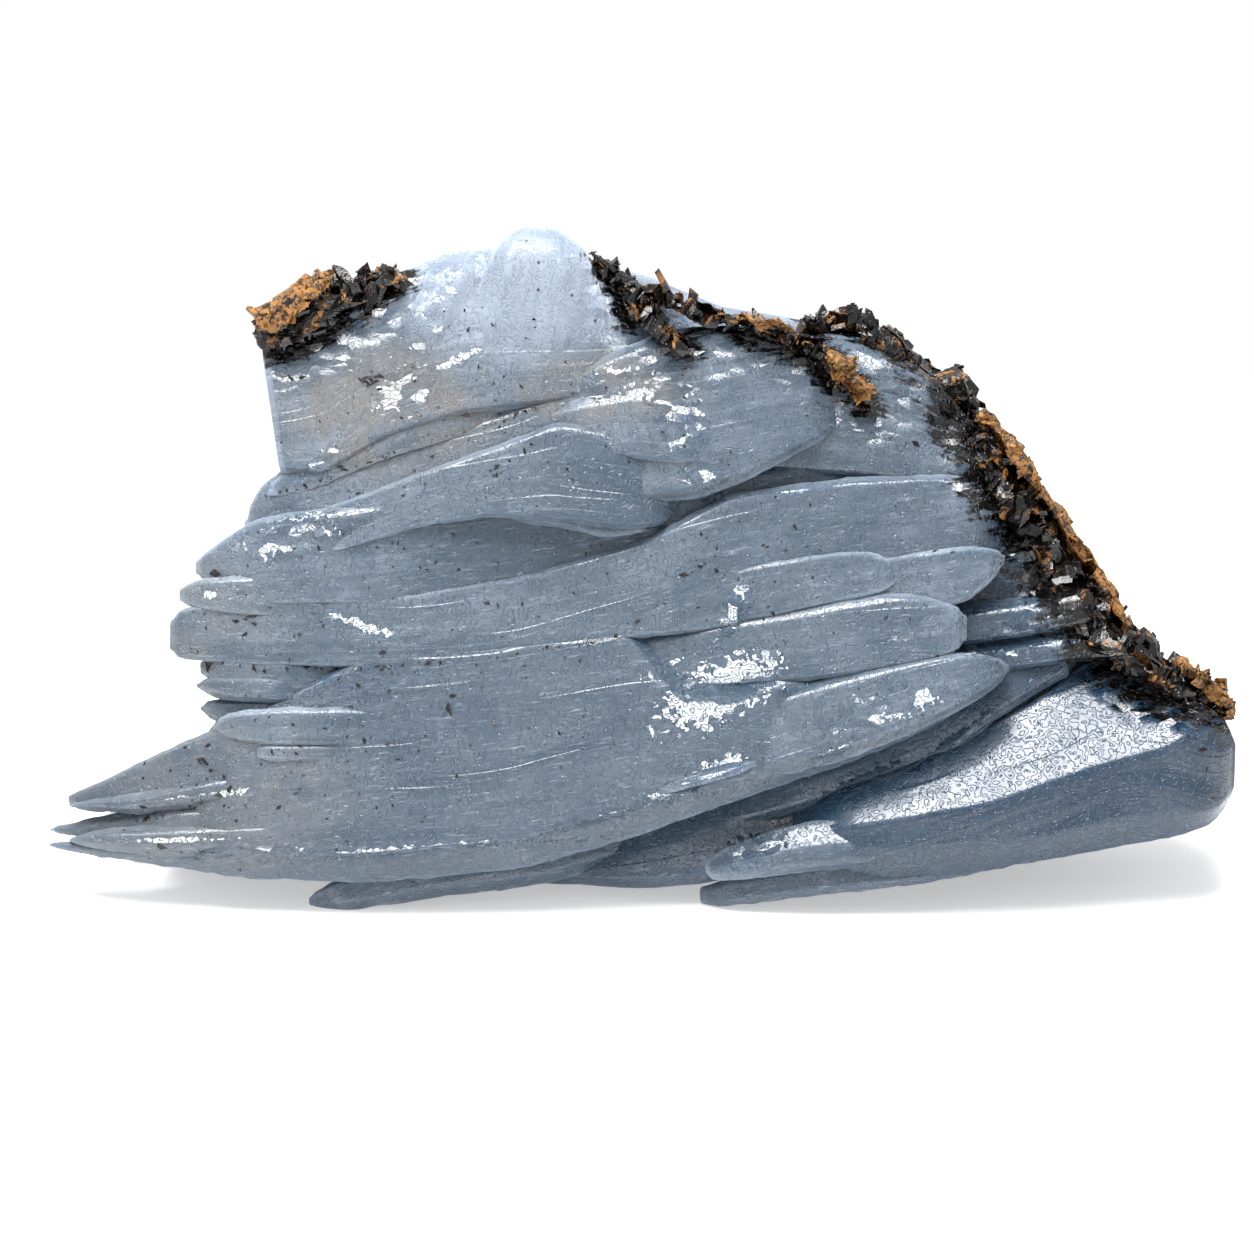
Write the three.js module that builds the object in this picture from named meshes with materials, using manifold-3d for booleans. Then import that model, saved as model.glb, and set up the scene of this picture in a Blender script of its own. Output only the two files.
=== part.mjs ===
// A hand-sized cluster of pale blue barite: a fan of bladed crystals grown through one another, rooted along a
// slanting edge of black manganese oxide and ochre iron oxide. Millimetres, +Z up, the viewer's side at -Y.
import * as THREE from "three";
import { mergeVertices } from "three/addons/utils/BufferGeometryUtils.js";
import Module from "manifold-3d";

const wasm = await Module();
wasm.setup();

// Driving dimensions, in millimetres and degrees
const FAN_LEAN = 13; // the plane of the fan leans back by this much from upright
const FLOOR_DROP = 2.45; // how far below the fan's own zero the surface that it rests on lies
const CENTRE = { x: 0.025, y: 5.38 }; // the middle of the leaning fan, which becomes the origin
const CRUST_GAP = 0.3; // clearance between a crust and the crystals or crust beneath it
const TIP_THICKNESS = { least: 0.9, perWidth: 0.75 }; // a blade thins towards a narrow tip
const REACH = 200; // larger than the whole specimen, for cutters

const COLOURS = {
  barite: { color: 0x9fb0c2, roughness: 0.3, metalness: 0 },
  blackOxide: { color: 0x1d1b1b, roughness: 0.45, metalness: 0.1 },
  ochre: { color: 0xb5742e, roughness: 0.9, metalness: 0 },
};

// Every blade is drawn in the plane of the fan, across x and up v, with w as its depth into the fan.
// A station is [x, v of the upper edge, x, v of the lower edge, w of the front face]. It may end in
// the shares of the width that the upper and lower edge faces take there, where they differ from bevel.
// thick is front to back, edge how deep between front and back the sharp edge lies, and lean tips the
// upper edge away. A blade keeps its thickness where it narrows if it is blunt.
const blade = (stations, { thick, bevel = [0.14, 0.14], edge = 0.5, lean = 0, blunt = false }) => ({
  stations,
  thick,
  bevel,
  edge,
  lean,
  blunt,
});

// The heart of the fan, which carries the blades in front of it and behind it
const CORE = {
  core_upper: blade(
    [
      [-34.5, 56, -33, 47, -6],
      [-24, 61, -22, 42, -7],
      [-8, 64, -6, 42, -8],
      [10, 58, 12, 40, -8],
      [28, 52, 32, 36, -8],
      [40, 43, 44, 33, -7],
    ],
    { thick: 15 },
  ),
  core_middle: blade(
    [
      [-42.5, 35, -42.5, 27, -8],
      [-30, 41, -30, 20, -9],
      [0, 46, 0, 18, -10],
      [30, 46, 32, 22, -9],
      [46, 36, 52, 26, -8],
    ],
    { thick: 16 },
  ),
  core_lower: blade(
    [
      [-50, 13, -50, 7.5, -7],
      [-40, 21, -40, 6, -9],
      [-10, 26, -10, 5, -10],
      [20, 26, 22, 8, -9],
      [46, 28, 57, 13, -7],
    ],
    { thick: 15 },
  ),
  right_root: blade(
    [
      [24, 36, 27, 23, -7],
      [34, 39, 36, 24, -8.4],
      [41, 42, 45, 25.5, -8.4],
      [45, 37, 52, 27, -7.4],
    ],
    { thick: 12 },
  ),
  upper_right_root: blade(
    [
      [2, 58, 4, 44, -7],
      [12, 58.4, 14, 43, -8],
      [22, 58, 25, 42, -8.6],
      [31, 53, 34, 41, -8],
      [38, 46.5, 42, 38, -7],
    ],
    { thick: 12, bevel: [0.12, 0.1] },
  ),
  cleft_blade: blade(
    [
      [-14.6, 4.6, -14.5, 2.4, -7],
      [-4, 9, -4, 2.6, -8.4],
      [8, 13.5, 7, 3.4, -9.4],
      [20, 18, 20, 7.5, -9.4],
      [32, 23, 32, 12, -8.8],
      [43, 27.5, 44, 18, -8],
      [50, 28.5, 52, 21, -6.5],
    ],
    { thick: 10, bevel: [0.1, 0.2], lean: 6 },
  ),
  crest_right: blade(
    [
      [-9, 66, -8, 55, 0.5],
      [-1, 64.4, 0, 54, 0.5],
      [6, 61.9, 6, 51, 1],
      [14, 59.9, 14, 49, 1],
      [22, 58.3, 22, 47, 1],
      [31, 52.5, 31, 43, 1],
      [39, 45.5, 40, 37, 1],
    ],
    { thick: 9, bevel: [0.18, 0.1] },
  ),
  crest_left: blade(
    [
      [-27, 62.5, -26, 50, -5],
      [-21.4, 66.3, -20, 54, -5],
      [-14.5, 67.2, -13, 54, -5],
      [-6, 66, -4, 54, -5],
    ],
    { thick: 8, bevel: [0.2, 0.1] },
  ),
};

// The viewer's side, from the top of the fan down to its foot
const FRONT = {
  upper_left_block: blade(
    [
      [-38, 58, -35.8, 43.6, -11],
      [-32, 60.6, -31.4, 43.2, -12.4],
      [-25, 63.8, -25, 47, -13],
      [-18, 65.6, -17, 49.4, -13.2],
      [-9, 66, -8, 50.4, -12.8],
      [-3, 64.6, 1, 52, -12],
      [4.6, 60.6, 8, 53, -9.6],
    ],
    { thick: 12, bevel: [0.16, 0.07], lean: 10 },
  ),
  steep_blade_left: blade(
    [
      [-26.4, 50.2, -19.6, 50.8, -13.2],
      [-25.2, 54.6, -18.8, 55.2, -14.5],
      [-23.4, 59.4, -16.6, 59.8, -14.5],
      [-21.8, 63.4, -14.6, 64.4, -13],
      [-20, 66, -14.8, 66.6, -10.6],
    ],
    { thick: 7, bevel: [0.3, 0.16] },
  ),
  dome: blade(
    [
      [-19.6, 53.4, -4, 51, -12.6],
      [-18.9, 57, -3.4, 55, -13.9],
      [-17.2, 60, -3, 59, -14.1],
      [-15.6, 63, -4, 63, -13],
      [-14, 66.6, -5.6, 66.5, -10.6],
      [-11.8, 68.6, -8.4, 68.5, -7.6],
    ],
    { thick: 10, bevel: [0.12, 0.34] },
  ),
  upper_lath: blade(
    [
      [-36.8, 43, -37.2, 41.4, -12.6],
      [-34, 44.8, -34, 41.6, -13.4],
      [-30, 46.4, -30, 43.2, -14],
      [-25, 48.9, -25, 45.2, -14.6],
      [-19, 50.8, -19, 47, -14.6],
      [-12, 52.6, -12, 48.8, -13.4],
    ],
    { thick: 5, lean: 8 },
  ),
  upper_band: blade(
    [
      [-39.7, 39.4, -39.8, 38.3, -11],
      [-38.4, 42.2, -37.4, 36.6, -12.6],
      [-35.4, 44.7, -33, 37, -13.6],
      [-27, 46.8, -26, 38, -14.2],
      [-16, 50, -16, 41, -14.8],
      [-6, 53.4, -6, 43, -14.8],
      [2, 55, 2, 44, -14.4],
      [9, 54, 9, 45, -12],
    ],
    { thick: 9, bevel: [0.14, 0.1], lean: 8 },
  ),
  upper_right_fan: blade(
    [
      [-10, 52, -6, 41, -13],
      [-4, 55.4, 0, 40.6, -15],
      [3, 58.2, 6, 41.2, -15.6],
      [9, 58.6, 11, 43.2, -15.2],
      [14, 57.4, 15, 45.3, -14.4],
      [18.6, 54.8, 18.9, 47.6, -13.6],
      [23, 51, 22.8, 50, -12.4],
    ],
    { thick: 8, bevel: [0.12, 0.09], lean: 8 },
  ),
  upper_right_lath: blade(
    [
      [-12, 49.6, -12, 45, -13],
      [-6, 51.4, -6, 45.4, -16],
      [0, 52.6, 0, 45, -16.8],
      [4.4, 52, 4.6, 44.4, -16.6],
      [6.6, 49.4, 7.4, 44.4, -15],
    ],
    { thick: 5, bevel: [0.2, 0.1], lean: 8 },
  ),
  upper_front: blade(
    [
      [-38.6, 38.2, -38.8, 36.2, -13.2],
      [-35, 39.6, -34.8, 35.1, -15],
      [-29, 41.2, -29.6, 36, -16.2],
      [-22, 43.8, -22, 38.4, -17],
      [-14, 46.6, -15, 39.4, -17.4],
      [-8, 49, -9, 38.9, -17.8],
      [-1, 47.8, -1.6, 38.1, -18],
      [2.6, 46.4, 2, 38.3, -17.4],
      [5.6, 44.6, 3.4, 39.8, -16],
    ],
    { thick: 8, bevel: [0.12, 0.1], lean: 10 },
  ),
  upper_front_tooth: blade(
    [
      [-14, 42, -14, 39, -14],
      [-6, 40.4, -6, 38, -16.2],
      [-3.4, 38.8, -3.8, 37.2, -16],
      [0.6, 38.6, 0.6, 37.9, -14.6],
    ],
    { thick: 3 },
  ),
  recess_blade: blade(
    [
      [-44.6, 35.2, -44.6, 33.7, -11],
      [-41.8, 37.2, -42, 32.4, -12.4],
      [-38, 39.4, -38, 31, -12.8],
      [-24, 41.4, -24, 31, -12.2],
      [-8, 43, -8, 33, -10.6],
      [8, 44, 8, 36, -9],
      [22, 46, 22, 38, -6],
    ],
    { thick: 8, bevel: [0.12, 0.12], lean: -3 },
  ),
  blunt_blade: blade(
    [
      [-46.1, 32.4, -46.1, 31, -11.4],
      [-44, 33.4, -44, 30.6, -12.6],
      [-38, 33.8, -38, 30, -13.4],
      [-26, 34, -26, 30, -10],
    ],
    { thick: 5 },
  ),
  middle_broad: blade(
    [
      [-47, 29.2, -47, 26, -13],
      [-46.4, 30.4, -46.4, 25.3, -13.6],
      [-38, 31.3, -38, 24.6, -15],
      [-24, 31.8, -24, 24.4, -15],
      [-12, 33.6, -12, 25.6, -14.6],
      [0, 37, 0, 27.6, -14.4],
      [9, 41.9, 9, 28.6, -14.4],
      [20, 43.3, 20, 31, -14],
      [28, 43.8, 28, 31, -13.4],
      [33.2, 43.6, 32.6, 32.4, -12.6],
      [36.6, 40.8, 36, 35.8, -11.6],
      [38.8, 38.6, 38.4, 37.6, -10.6],
    ],
    { thick: 9, bevel: [0.1, 0.12], lean: 4 },
  ),
  leaf_upper: blade(
    [
      [2, 32.6, 2, 28, -12.6],
      [10, 34.4, 11, 29.6, -15.4],
      [17, 35.6, 18, 31.2, -16],
      [22, 36.1, 23, 32.4, -15.8],
      [24.6, 35, 25.6, 33, -14.8],
    ],
    { thick: 5, bevel: [0.16, 0.2], lean: 6 },
  ),
  leaf_middle: blade(
    [
      [4, 28, 4, 21, -13.4],
      [13, 30, 14, 23.4, -16.4],
      [20, 31.4, 20, 23.8, -16.8],
      [25, 32.4, 25.6, 24.6, -16.4],
      [29, 31.4, 29.4, 25.8, -15.4],
      [31.6, 30, 31.6, 27.4, -14.4],
    ],
    { thick: 5, bevel: [0.14, 0.2], lean: 8 },
  ),
  middle_step: blade(
    [
      [7.4, 33, 7.6, 27.4, -13.6],
      [8.6, 33.6, 8.4, 26.6, -16.4],
      [10.4, 33.2, 9.8, 27, -16.4],
      [11.4, 32.4, 10.8, 27.6, -13.4],
    ],
    { thick: 4, bevel: [0.74, 0.1], edge: 0.8, blunt: true },
  ),
  lower_front: blade(
    [
      [-50, 9, -50, 5.4, -10.6],
      [-41, 20, -41, 3.6, -13.2],
      [-28, 24.6, -27, 3, -15, 0.06, 0.14],
      [-14, 26.2, -12, 4.4, -15.8, 0.06, 0.16],
      [-1, 27.6, 0, 7.8, -16.2, 0.1, 0.15],
      [4, 28, 5, 9.6, -16.6, 0.48, 0.16],
      [9, 28, 10, 11.4, -16.8, 0.5, 0.17],
      [13.4, 28, 14, 12.8, -16.8, 0.4, 0.18],
      [18, 27, 19, 14.4, -16.8, 0.5, 0.2],
      [23, 26, 24, 16.2, -16.6, 0.46, 0.22],
      [30, 26.4, 30.6, 19.2, -15.4, 0.44, 0.3],
      [34.6, 25.9, 35, 21.8, -14, 0.3, 0.4],
      [36.5, 24.8, 36.7, 24, -12.8],
    ],
    { thick: 11, bevel: [0.08, 0.16], edge: 0.4, lean: 9 },
  ),
  lower_front_step: blade(
    [
      [0, 13.4, 1, 11, -16],
      [5, 15.4, 6, 12.6, -18.6],
      [10.4, 16.4, 10.4, 14.2, -18.6],
      [12.4, 16.6, 12.2, 15.4, -16.6],
    ],
    { thick: 3.4, bevel: [0.74, 0.1], edge: 0.8, blunt: true },
  ),
  left_stub_upper: blade(
    [
      [-44, 25.2, -43.9, 23.6, -11.4],
      [-42, 25.4, -42, 23, -13.4],
      [-35, 25.2, -35, 22.4, -13.4],
      [-28, 24.6, -28, 22.6, -10.4],
    ],
    { thick: 4 },
  ),
  left_stub_middle: blade(
    [
      [-44.4, 22.9, -44.3, 22.3, -11.4],
      [-43, 23.8, -42.6, 21.3, -12.8],
      [-37, 23.6, -37, 21, -14.6],
      [-30, 23.2, -30, 21, -12],
    ],
    { thick: 4 },
  ),
  left_stub_lower: blade(
    [
      [-44.1, 20.7, -44, 20, -10.4],
      [-43.2, 21.4, -42.8, 18.9, -11.8],
      [-37, 21.6, -37, 18, -13.4],
      [-30, 21, -30, 18, -10.6],
    ],
    { thick: 5 },
  ),
  left_prism: blade(
    [
      [-42.6, 18.9, -42.5, 18, -13.4],
      [-41.4, 20, -41, 17.3, -15],
      [-36, 20.8, -36, 16.8, -15.8],
      [-30, 20.8, -30, 16.9, -15.2],
      [-24, 20.4, -24, 17.6, -12.6],
    ],
    { thick: 4, bevel: [0.3, 0.3] },
  ),
  left_small_prism: blade(
    [
      [-38.8, 16.5, -38.7, 15.7, -14.4],
      [-37.6, 17.1, -37.6, 15.1, -16],
      [-32, 17, -32, 15, -16],
      [-27, 16.8, -27, 15.2, -13.4],
    ],
    { thick: 3.4, bevel: [0.3, 0.3] },
  ),
  spear_upper: blade(
    [
      [-57.6, 11.6, -57.4, 10.5, -9.6],
      [-55, 12.6, -55, 9.8, -10.6],
      [-45.6, 17.1, -46, 10.4, -12.6],
      [-40, 19.2, -38, 11, -13.6],
      [-28, 20.6, -28, 12, -11.6],
    ],
    { thick: 6, bevel: [0.12, 0.2], lean: 6 },
  ),
  spear_ridge: blade(
    [
      [-57.3, 10.9, -57.2, 10.5, -10.2],
      [-50, 12, -50, 9.6, -12.6],
      [-42, 14, -42, 10.6, -14.4],
      [-32, 16, -32, 12, -13],
    ],
    { thick: 3, bevel: [0.3, 0.3] },
  ),
  spear_middle: blade(
    [
      [-59.5, 8.3, -59.4, 7.8, -8.4],
      [-55, 9.4, -55, 7.1, -10.4],
      [-47, 11.4, -47, 7, -13],
      [-38, 12.4, -38, 7.4, -14.4],
      [-28, 12.4, -28, 8, -12],
    ],
    { thick: 5, bevel: [0.5, 0.2] },
  ),
  spear_glassy: blade(
    [
      [-57.2, 7.4, -57.2, 6.8, -11],
      [-54, 8.4, -54, 6.2, -12.8],
      [-46, 9.2, -46, 5.4, -14.4],
      [-37, 9.8, -37, 5.6, -15.8],
      [-28, 9.6, -28, 6, -13],
    ],
    { thick: 5, bevel: [0.3, 0.3] },
  ),
  spear_lower: blade(
    [
      [-59.4, 6.8, -59.3, 6.4, -9.6],
      [-54.6, 7.2, -54.6, 5.5, -11],
      [-46, 7.6, -46, 4.4, -12.8],
      [-38, 8, -38, 3.2, -13.6],
      [-30, 8, -30, 4, -11],
    ],
    { thick: 4.4, bevel: [0.3, 0.3] },
  ),
  foot_sliver: blade(
    [
      [-33.3, 1.4, -33.1, 0, -9.4],
      [-31, 2.9, -30, -0.1, -10.6],
      [-22, 7, -22, 1, -11.4],
      [-8, 9, -8, 2.4, -11],
    ],
    { thick: 5 },
  ),
  right_plate_upper: blade(
    [
      [25, 30, 25, 26.4, -10.6],
      [33, 30.8, 33, 27, -11.8],
      [40, 32, 41, 28.6, -11.4],
      [47, 34, 48, 29, -9.6],
    ],
    { thick: 4, bevel: [0.3, 0.2], lean: 6 },
  ),
  right_plate_lower: blade(
    [
      [28, 27, 28, 24, -10],
      [35, 27.8, 35.6, 24.4, -11.2],
      [42, 29, 43, 25.6, -11],
      [50, 29, 52, 25.6, -9],
    ],
    { thick: 4, bevel: [0.5, 0.2], lean: 6 },
  ),
  cleft_plate: blade(
    [
      [4, 12, 5, 6, -7.6],
      [12, 14, 13, 9.4, -9],
      [22, 17, 23, 12.6, -9.4],
      [30, 21, 31, 15.4, -9.6],
      [35, 25, 36, 19.6, -9.6],
      [42, 28.6, 43, 23.6, -8.8],
    ],
    { thick: 3, bevel: [0.1, 0.24], lean: -8 },
  ),
  lower_right_tip: blade(
    [
      [6.3, 5.2, 6.4, 3.8, -13],
      [7.6, 6.2, 7.6, 3, -15],
      [12, 8, 12, 3.6, -16],
      [16, 8.8, 17, 4.4, -16.2],
      [26, 10, 27, 6.4, -13.6],
    ],
    { thick: 8, bevel: [0.56, 0.2], edge: 0.5 },
  ),
  lower_right_crystal: blade(
    [
      [15.6, 10.9, 15.6, 2.2, -14.2, 0.1, 0.3],
      [20, 12, 20, 2.3, -15, 0.2, 0.3],
      [26, 13.6, 26, 3, -15.2, 0.35, 0.3],
      [34, 18, 34, 4.2, -15.2, 0.54, 0.22],
      [40, 21.4, 40, 5.2, -14.8, 0.51, 0.2],
      [46, 26, 46, 6.2, -14.2, 0.58, 0.2],
      [52, 26, 52, 7.2, -13, 0.56, 0.2],
      [56, 21, 56, 8.2, -11.6, 0.2, 0.2],
      [59.6, 18.4, 59.4, 12.4, -6.6, 0.2, 0.2],
    ],
    { thick: 16, edge: 0.4 },
  ),
  lower_right_foot: blade(
    [
      [6, 2.4, 6.1, 0.6, -10.4],
      [9, 3.6, 9, 0.5, -12],
      [18, 5.8, 18, 1.8, -13],
      [30, 8, 30, 3.4, -11.4],
    ],
    { thick: 6 },
  ),
};

// The far side, which the same habit carries on
const BACK = {
  back_lower: blade(
    [
      [-53, 10.4, -53, 7.4, 2],
      [-42, 17, -42, 6, 4],
      [-20, 22, -20, 6, 5.4],
      [4, 24, 4, 7, 6.4],
      [28, 26, 30, 9.6, 6.4],
      [48, 27, 55, 13.4, 4.6],
    ],
    { thick: 9, lean: -6 },
  ),
  back_foot: blade(
    [
      [-13, 10, -11, 5.2, 5],
      [4, 12, 4, 4.4, 6.6],
      [20, 14, 22, 4.6, 7],
      [34, 17, 37, 5.2, 6.6],
      [44, 20, 46, 8, 6],
    ],
    { thick: 9, bevel: [0.14, 0.1] },
  ),
  back_middle: blade(
    [
      [-44.6, 29.4, -44.8, 26.4, 3],
      [-34, 33.6, -34, 20, 5.6],
      [-10, 38, -10, 18, 8],
      [14, 41.6, 14, 20, 8.6],
      [34, 41.6, 36, 24, 7.6],
      [44, 36, 49, 27.6, 5.6],
    ],
    { thick: 9, lean: -5 },
  ),
  back_upper: blade(
    [
      [-35.6, 53, -34.8, 47.4, 1],
      [-28, 59, -26, 40, 3.4],
      [-10, 62.6, -8, 39, 5],
      [8, 57, 10, 38, 6],
      [26, 52, 30, 38, 6],
      [37, 45.4, 42, 36, 4.6],
    ],
    { thick: 8, lean: -8 },
  ),
  back_leaf_high: blade(
    [
      [-30, 49.6, -29, 43.6, 8],
      [-20, 55, -16, 42, 9.4],
      [-4, 56.6, 0, 40.4, 10.6],
      [12, 52.4, 16, 39.4, 10.6],
      [22, 46.6, 23, 42.6, 9.6],
    ],
    { thick: 4.6, bevel: [0.16, 0.12], lean: -10 },
  ),
  back_leaf_middle: blade(
    [
      [-38, 29.4, -38, 25, 10.4],
      [-24, 33.4, -24, 22, 12.4],
      [0, 37, 0, 21, 13.6],
      [18, 37.6, 20, 24, 13.2],
      [28, 34.6, 28.6, 30.4, 11.6],
    ],
    { thick: 5, bevel: [0.12, 0.16], lean: -6 },
  ),
  back_leaf_low: blade(
    [
      [-47, 12.6, -47, 8.6, 8.6],
      [-34, 17.8, -34, 7.6, 10.6],
      [-12, 21, -12, 8.8, 11.6],
      [10, 22.6, 12, 11.6, 12],
      [24, 21.6, 24.6, 17.4, 11],
    ],
    { thick: 5, bevel: [0.14, 0.2], lean: -8 },
  ),
  back_right_prism: blade(
    [
      [16, 15, 17, 8.4, 12],
      [24, 19, 26, 8.8, 13.4],
      [38, 24, 42, 11.4, 12.6],
      [50, 24.4, 55, 16, 9],
    ],
    { thick: 5, bevel: [0.34, 0.3] },
  ),
  back_stub_high: blade(
    [
      [-37, 37.6, -37.2, 34.4, 5],
      [-30, 40.4, -30, 33.6, 7],
      [-12, 43, -12, 35, 9],
    ],
    { thick: 5 },
  ),
  back_spear: blade(
    [
      [-56.6, 8.4, -56.6, 7.8, 0],
      [-50, 11.6, -50, 7, 2],
      [-38, 14.6, -38, 6.6, 5],
      [-22, 16.4, -22, 6.8, 8],
    ],
    { thick: 6, bevel: [0.2, 0.3] },
  ),
};

// The slanting wall that the fan grew from: crystals stop here and the edge crust begins
const WALL = [
  [-30, 80],
  [2, 63.5],
  [16, 59.3],
  [24, 57.4],
  [30, 52.6],
  [36.2, 45.4],
  [42, 37],
  [45.6, 31],
  [51, 25],
  [58.4, 19.2],
  [64, 8],
];

// Crusts are drawn as blades are, and roughened: rough is how far a corner may wander
const crust = (finish, rough, ...parts) => ({ finish, rough, parts });

const CRUSTS = {
  black_oxide_edge_crust: crust(
    "blackOxide",
    0.5,
    blade(
      [
        [16.4, 59.4, 16, 57.8, -10],
        [18.4, 60.2, 18, 58, -10.4],
        [21, 60.4, 20.6, 58.4, -10.6],
        [23.6, 59.8, 22, 56.6, -10.8],
        [26, 58.2, 24, 54.2, -10.6],
        [28.4, 55.8, 26, 51.6, -10.8],
        [30.6, 54.9, 27.6, 49.8, -10.6],
        [33, 54.4, 29.8, 48, -11],
        [33.8, 52.4, 31, 46, -10.8],
        [34.6, 50, 32, 44.2, -10.6],
        [36, 47.4, 34, 42.4, -12.4],
        [37.6, 44.6, 35.8, 40.4, -13],
        [39.6, 42, 37.4, 38.6, -12.6],
        [41.4, 40, 38.6, 36.6, -11.6],
        [43.2, 37.2, 39.4, 33.8, -10.6],
        [45, 34.4, 40, 31.4, -10.6],
        [46.6, 31.6, 42, 28.8, -10.8],
        [48.4, 29, 44.6, 26.6, -12],
        [50.8, 27.2, 47.2, 24.2, -13],
        [53.2, 25.6, 50.4, 22.2, -13],
        [55, 24, 53.4, 21.2, -12.8],
        [57.4, 22, 56.4, 19.8, -11.8],
        [59.2, 20.6, 58.6, 19.2, -10.4],
      ],
      { thick: 22, bevel: [0.16, 0.14], blunt: true },
    ),
  ),
  black_oxide_ridge_crust: crust(
    "blackOxide",
    0.3,
    blade(
      [
        [-4.8, 66.5, -5.3, 65.6, -11],
        [-3.4, 66.2, -4.6, 64.2, -12.6],
        [-2.2, 65, -3.2, 62.8, -13.4],
        [-1.2, 63.6, -2.2, 61.2, -14],
        [-0.2, 62.4, -1.9, 59, -14.6],
        [1.4, 62.6, 0.4, 59.2, -15.6],
        [3.6, 62, 3.2, 59.6, -16.4],
        [5.4, 60.9, 5, 58.9, -16.6],
        [7, 60, 6.8, 58.7, -16.6],
        [9, 59.8, 8.8, 58.4, -16.6],
        [11, 59.9, 10.4, 57, -16.4],
        [13, 59.5, 12.4, 56.4, -16.2],
        [15.4, 58.2, 14.8, 55.6, -16],
        [17.6, 57.2, 16.8, 54.2, -15.6],
        [19.4, 55.6, 18.2, 52.8, -15.4],
        [21, 53.6, 19.9, 51.7, -15],
        [22.4, 51.8, 21.6, 50.4, -14.4],
        [23.4, 50.8, 23, 49.9, -13.6],
      ],
      { thick: 6, bevel: [0.24, 0.24], blunt: true },
    ),
    blade(
      [
        [0, 60.6, -0.8, 59.4, -15.2],
        [1.8, 59.4, 1, 58.2, -16.6],
        [3, 58.4, 2, 57, -17.2],
        [4.4, 57.2, 3.2, 55.8, -17.4],
        [5.6, 56, 5, 55.2, -17],
      ],
      { thick: 3, bevel: [0.3, 0.3], blunt: true },
    ),
  ),
  black_oxide_corner_crust: crust(
    "blackOxide",
    0.35,
    blade(
      [
        [-38.5, 59.6, -37.7, 55.4, -13],
        [-36.6, 60.2, -35.8, 54.4, -13.8],
        [-34, 61.4, -33.4, 55.6, -14.4],
        [-31.2, 63.9, -30.4, 57.2, -14.6],
        [-28.4, 64.5, -27.8, 58.6, -14.8],
        [-25.6, 65, -25.4, 60.8, -14.6],
        [-23.2, 63.6, -23, 62.6, -14],
      ],
      { thick: 8, bevel: [0.2, 0.2], blunt: true },
    ),
  ),
  ochre_corner_crust: crust(
    "ochre",
    0.3,
    blade(
      [
        [-38.6, 60.4, -38, 57, -14.6],
        [-36.8, 61, -36, 56.6, -15.6],
        [-34.4, 61.6, -34, 58, -16],
        [-32, 63.8, -31.6, 60, -16.2],
        [-30.4, 63.6, -30, 62, -16],
      ],
      { thick: 7, bevel: [0.2, 0.2], blunt: true },
    ),
  ),
  ochre_edge_crust: crust(
    "ochre",
    0.35,
    blade(
      [
        [33.2, 51.6, 32.8, 50.2, -10.6],
        [35.4, 49.8, 34.6, 47.6, -12],
        [37.4, 48, 35.8, 44.8, -13],
        [39, 46, 37.4, 42.6, -13.4],
        [40.4, 43.2, 39.4, 40.8, -13],
        [42.2, 40.6, 41.2, 38.8, -12],
        [43.6, 38.4, 42.6, 36.2, -11.4],
        [45.8, 36.4, 44.4, 34, -11],
        [47, 33.6, 45.8, 31.8, -11.2],
        [48, 30.9, 47.2, 29.4, -12],
        [49.6, 28.8, 48.8, 27.6, -12.8],
      ],
      { thick: 20, bevel: [0.3, 0.2], blunt: true },
    ),
  ),
  ochre_foot_crust: crust(
    "ochre",
    0.25,
    blade(
      [
        [54, 25.1, 53.6, 24.2, -12.6],
        [56, 24.6, 55.4, 22.6, -13.4],
        [58, 22.6, 57.4, 20.6, -12.8],
        [59.4, 20.8, 59, 19.4, -11.4],
      ],
      { thick: 10, bevel: [0.3, 0.2], blunt: true },
    ),
  ),
  ochre_ridge_crust: crust(
    "ochre",
    0.2,
    blade(
      [
        [9.4, 60.1, 9.2, 59, -17.2],
        [11.6, 60.2, 11.4, 58.4, -17.6],
        [13.6, 59.4, 13.2, 57.6, -17.4],
        [15.4, 58, 15, 56.8, -17],
      ],
      { thick: 3.4, bevel: [0.3, 0.3], blunt: true },
    ),
  ),
  ochre_ridge_end_crust: crust(
    "ochre",
    0.2,
    blade(
      [
        [18.2, 56.4, 17.8, 55, -16.4],
        [20, 55, 19.2, 53, -16.4],
        [21.4, 53.2, 20.8, 51.8, -16],
        [22.8, 51.6, 22.4, 50.8, -15.2],
      ],
      { thick: 3, bevel: [0.3, 0.3], blunt: true },
    ),
  ),
};

const radians = THREE.MathUtils.degToRad;

// A repeatable number from -1 to 1 for corner k of station i, so that a crust is the same each time
function wander(i, k, salt) {
  const wave = Math.sin(i * 12.9898 + k * 78.233 + salt * 37.719) * 43758.5453;
  return 2 * (wave - Math.floor(wave)) - 1;
}

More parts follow.
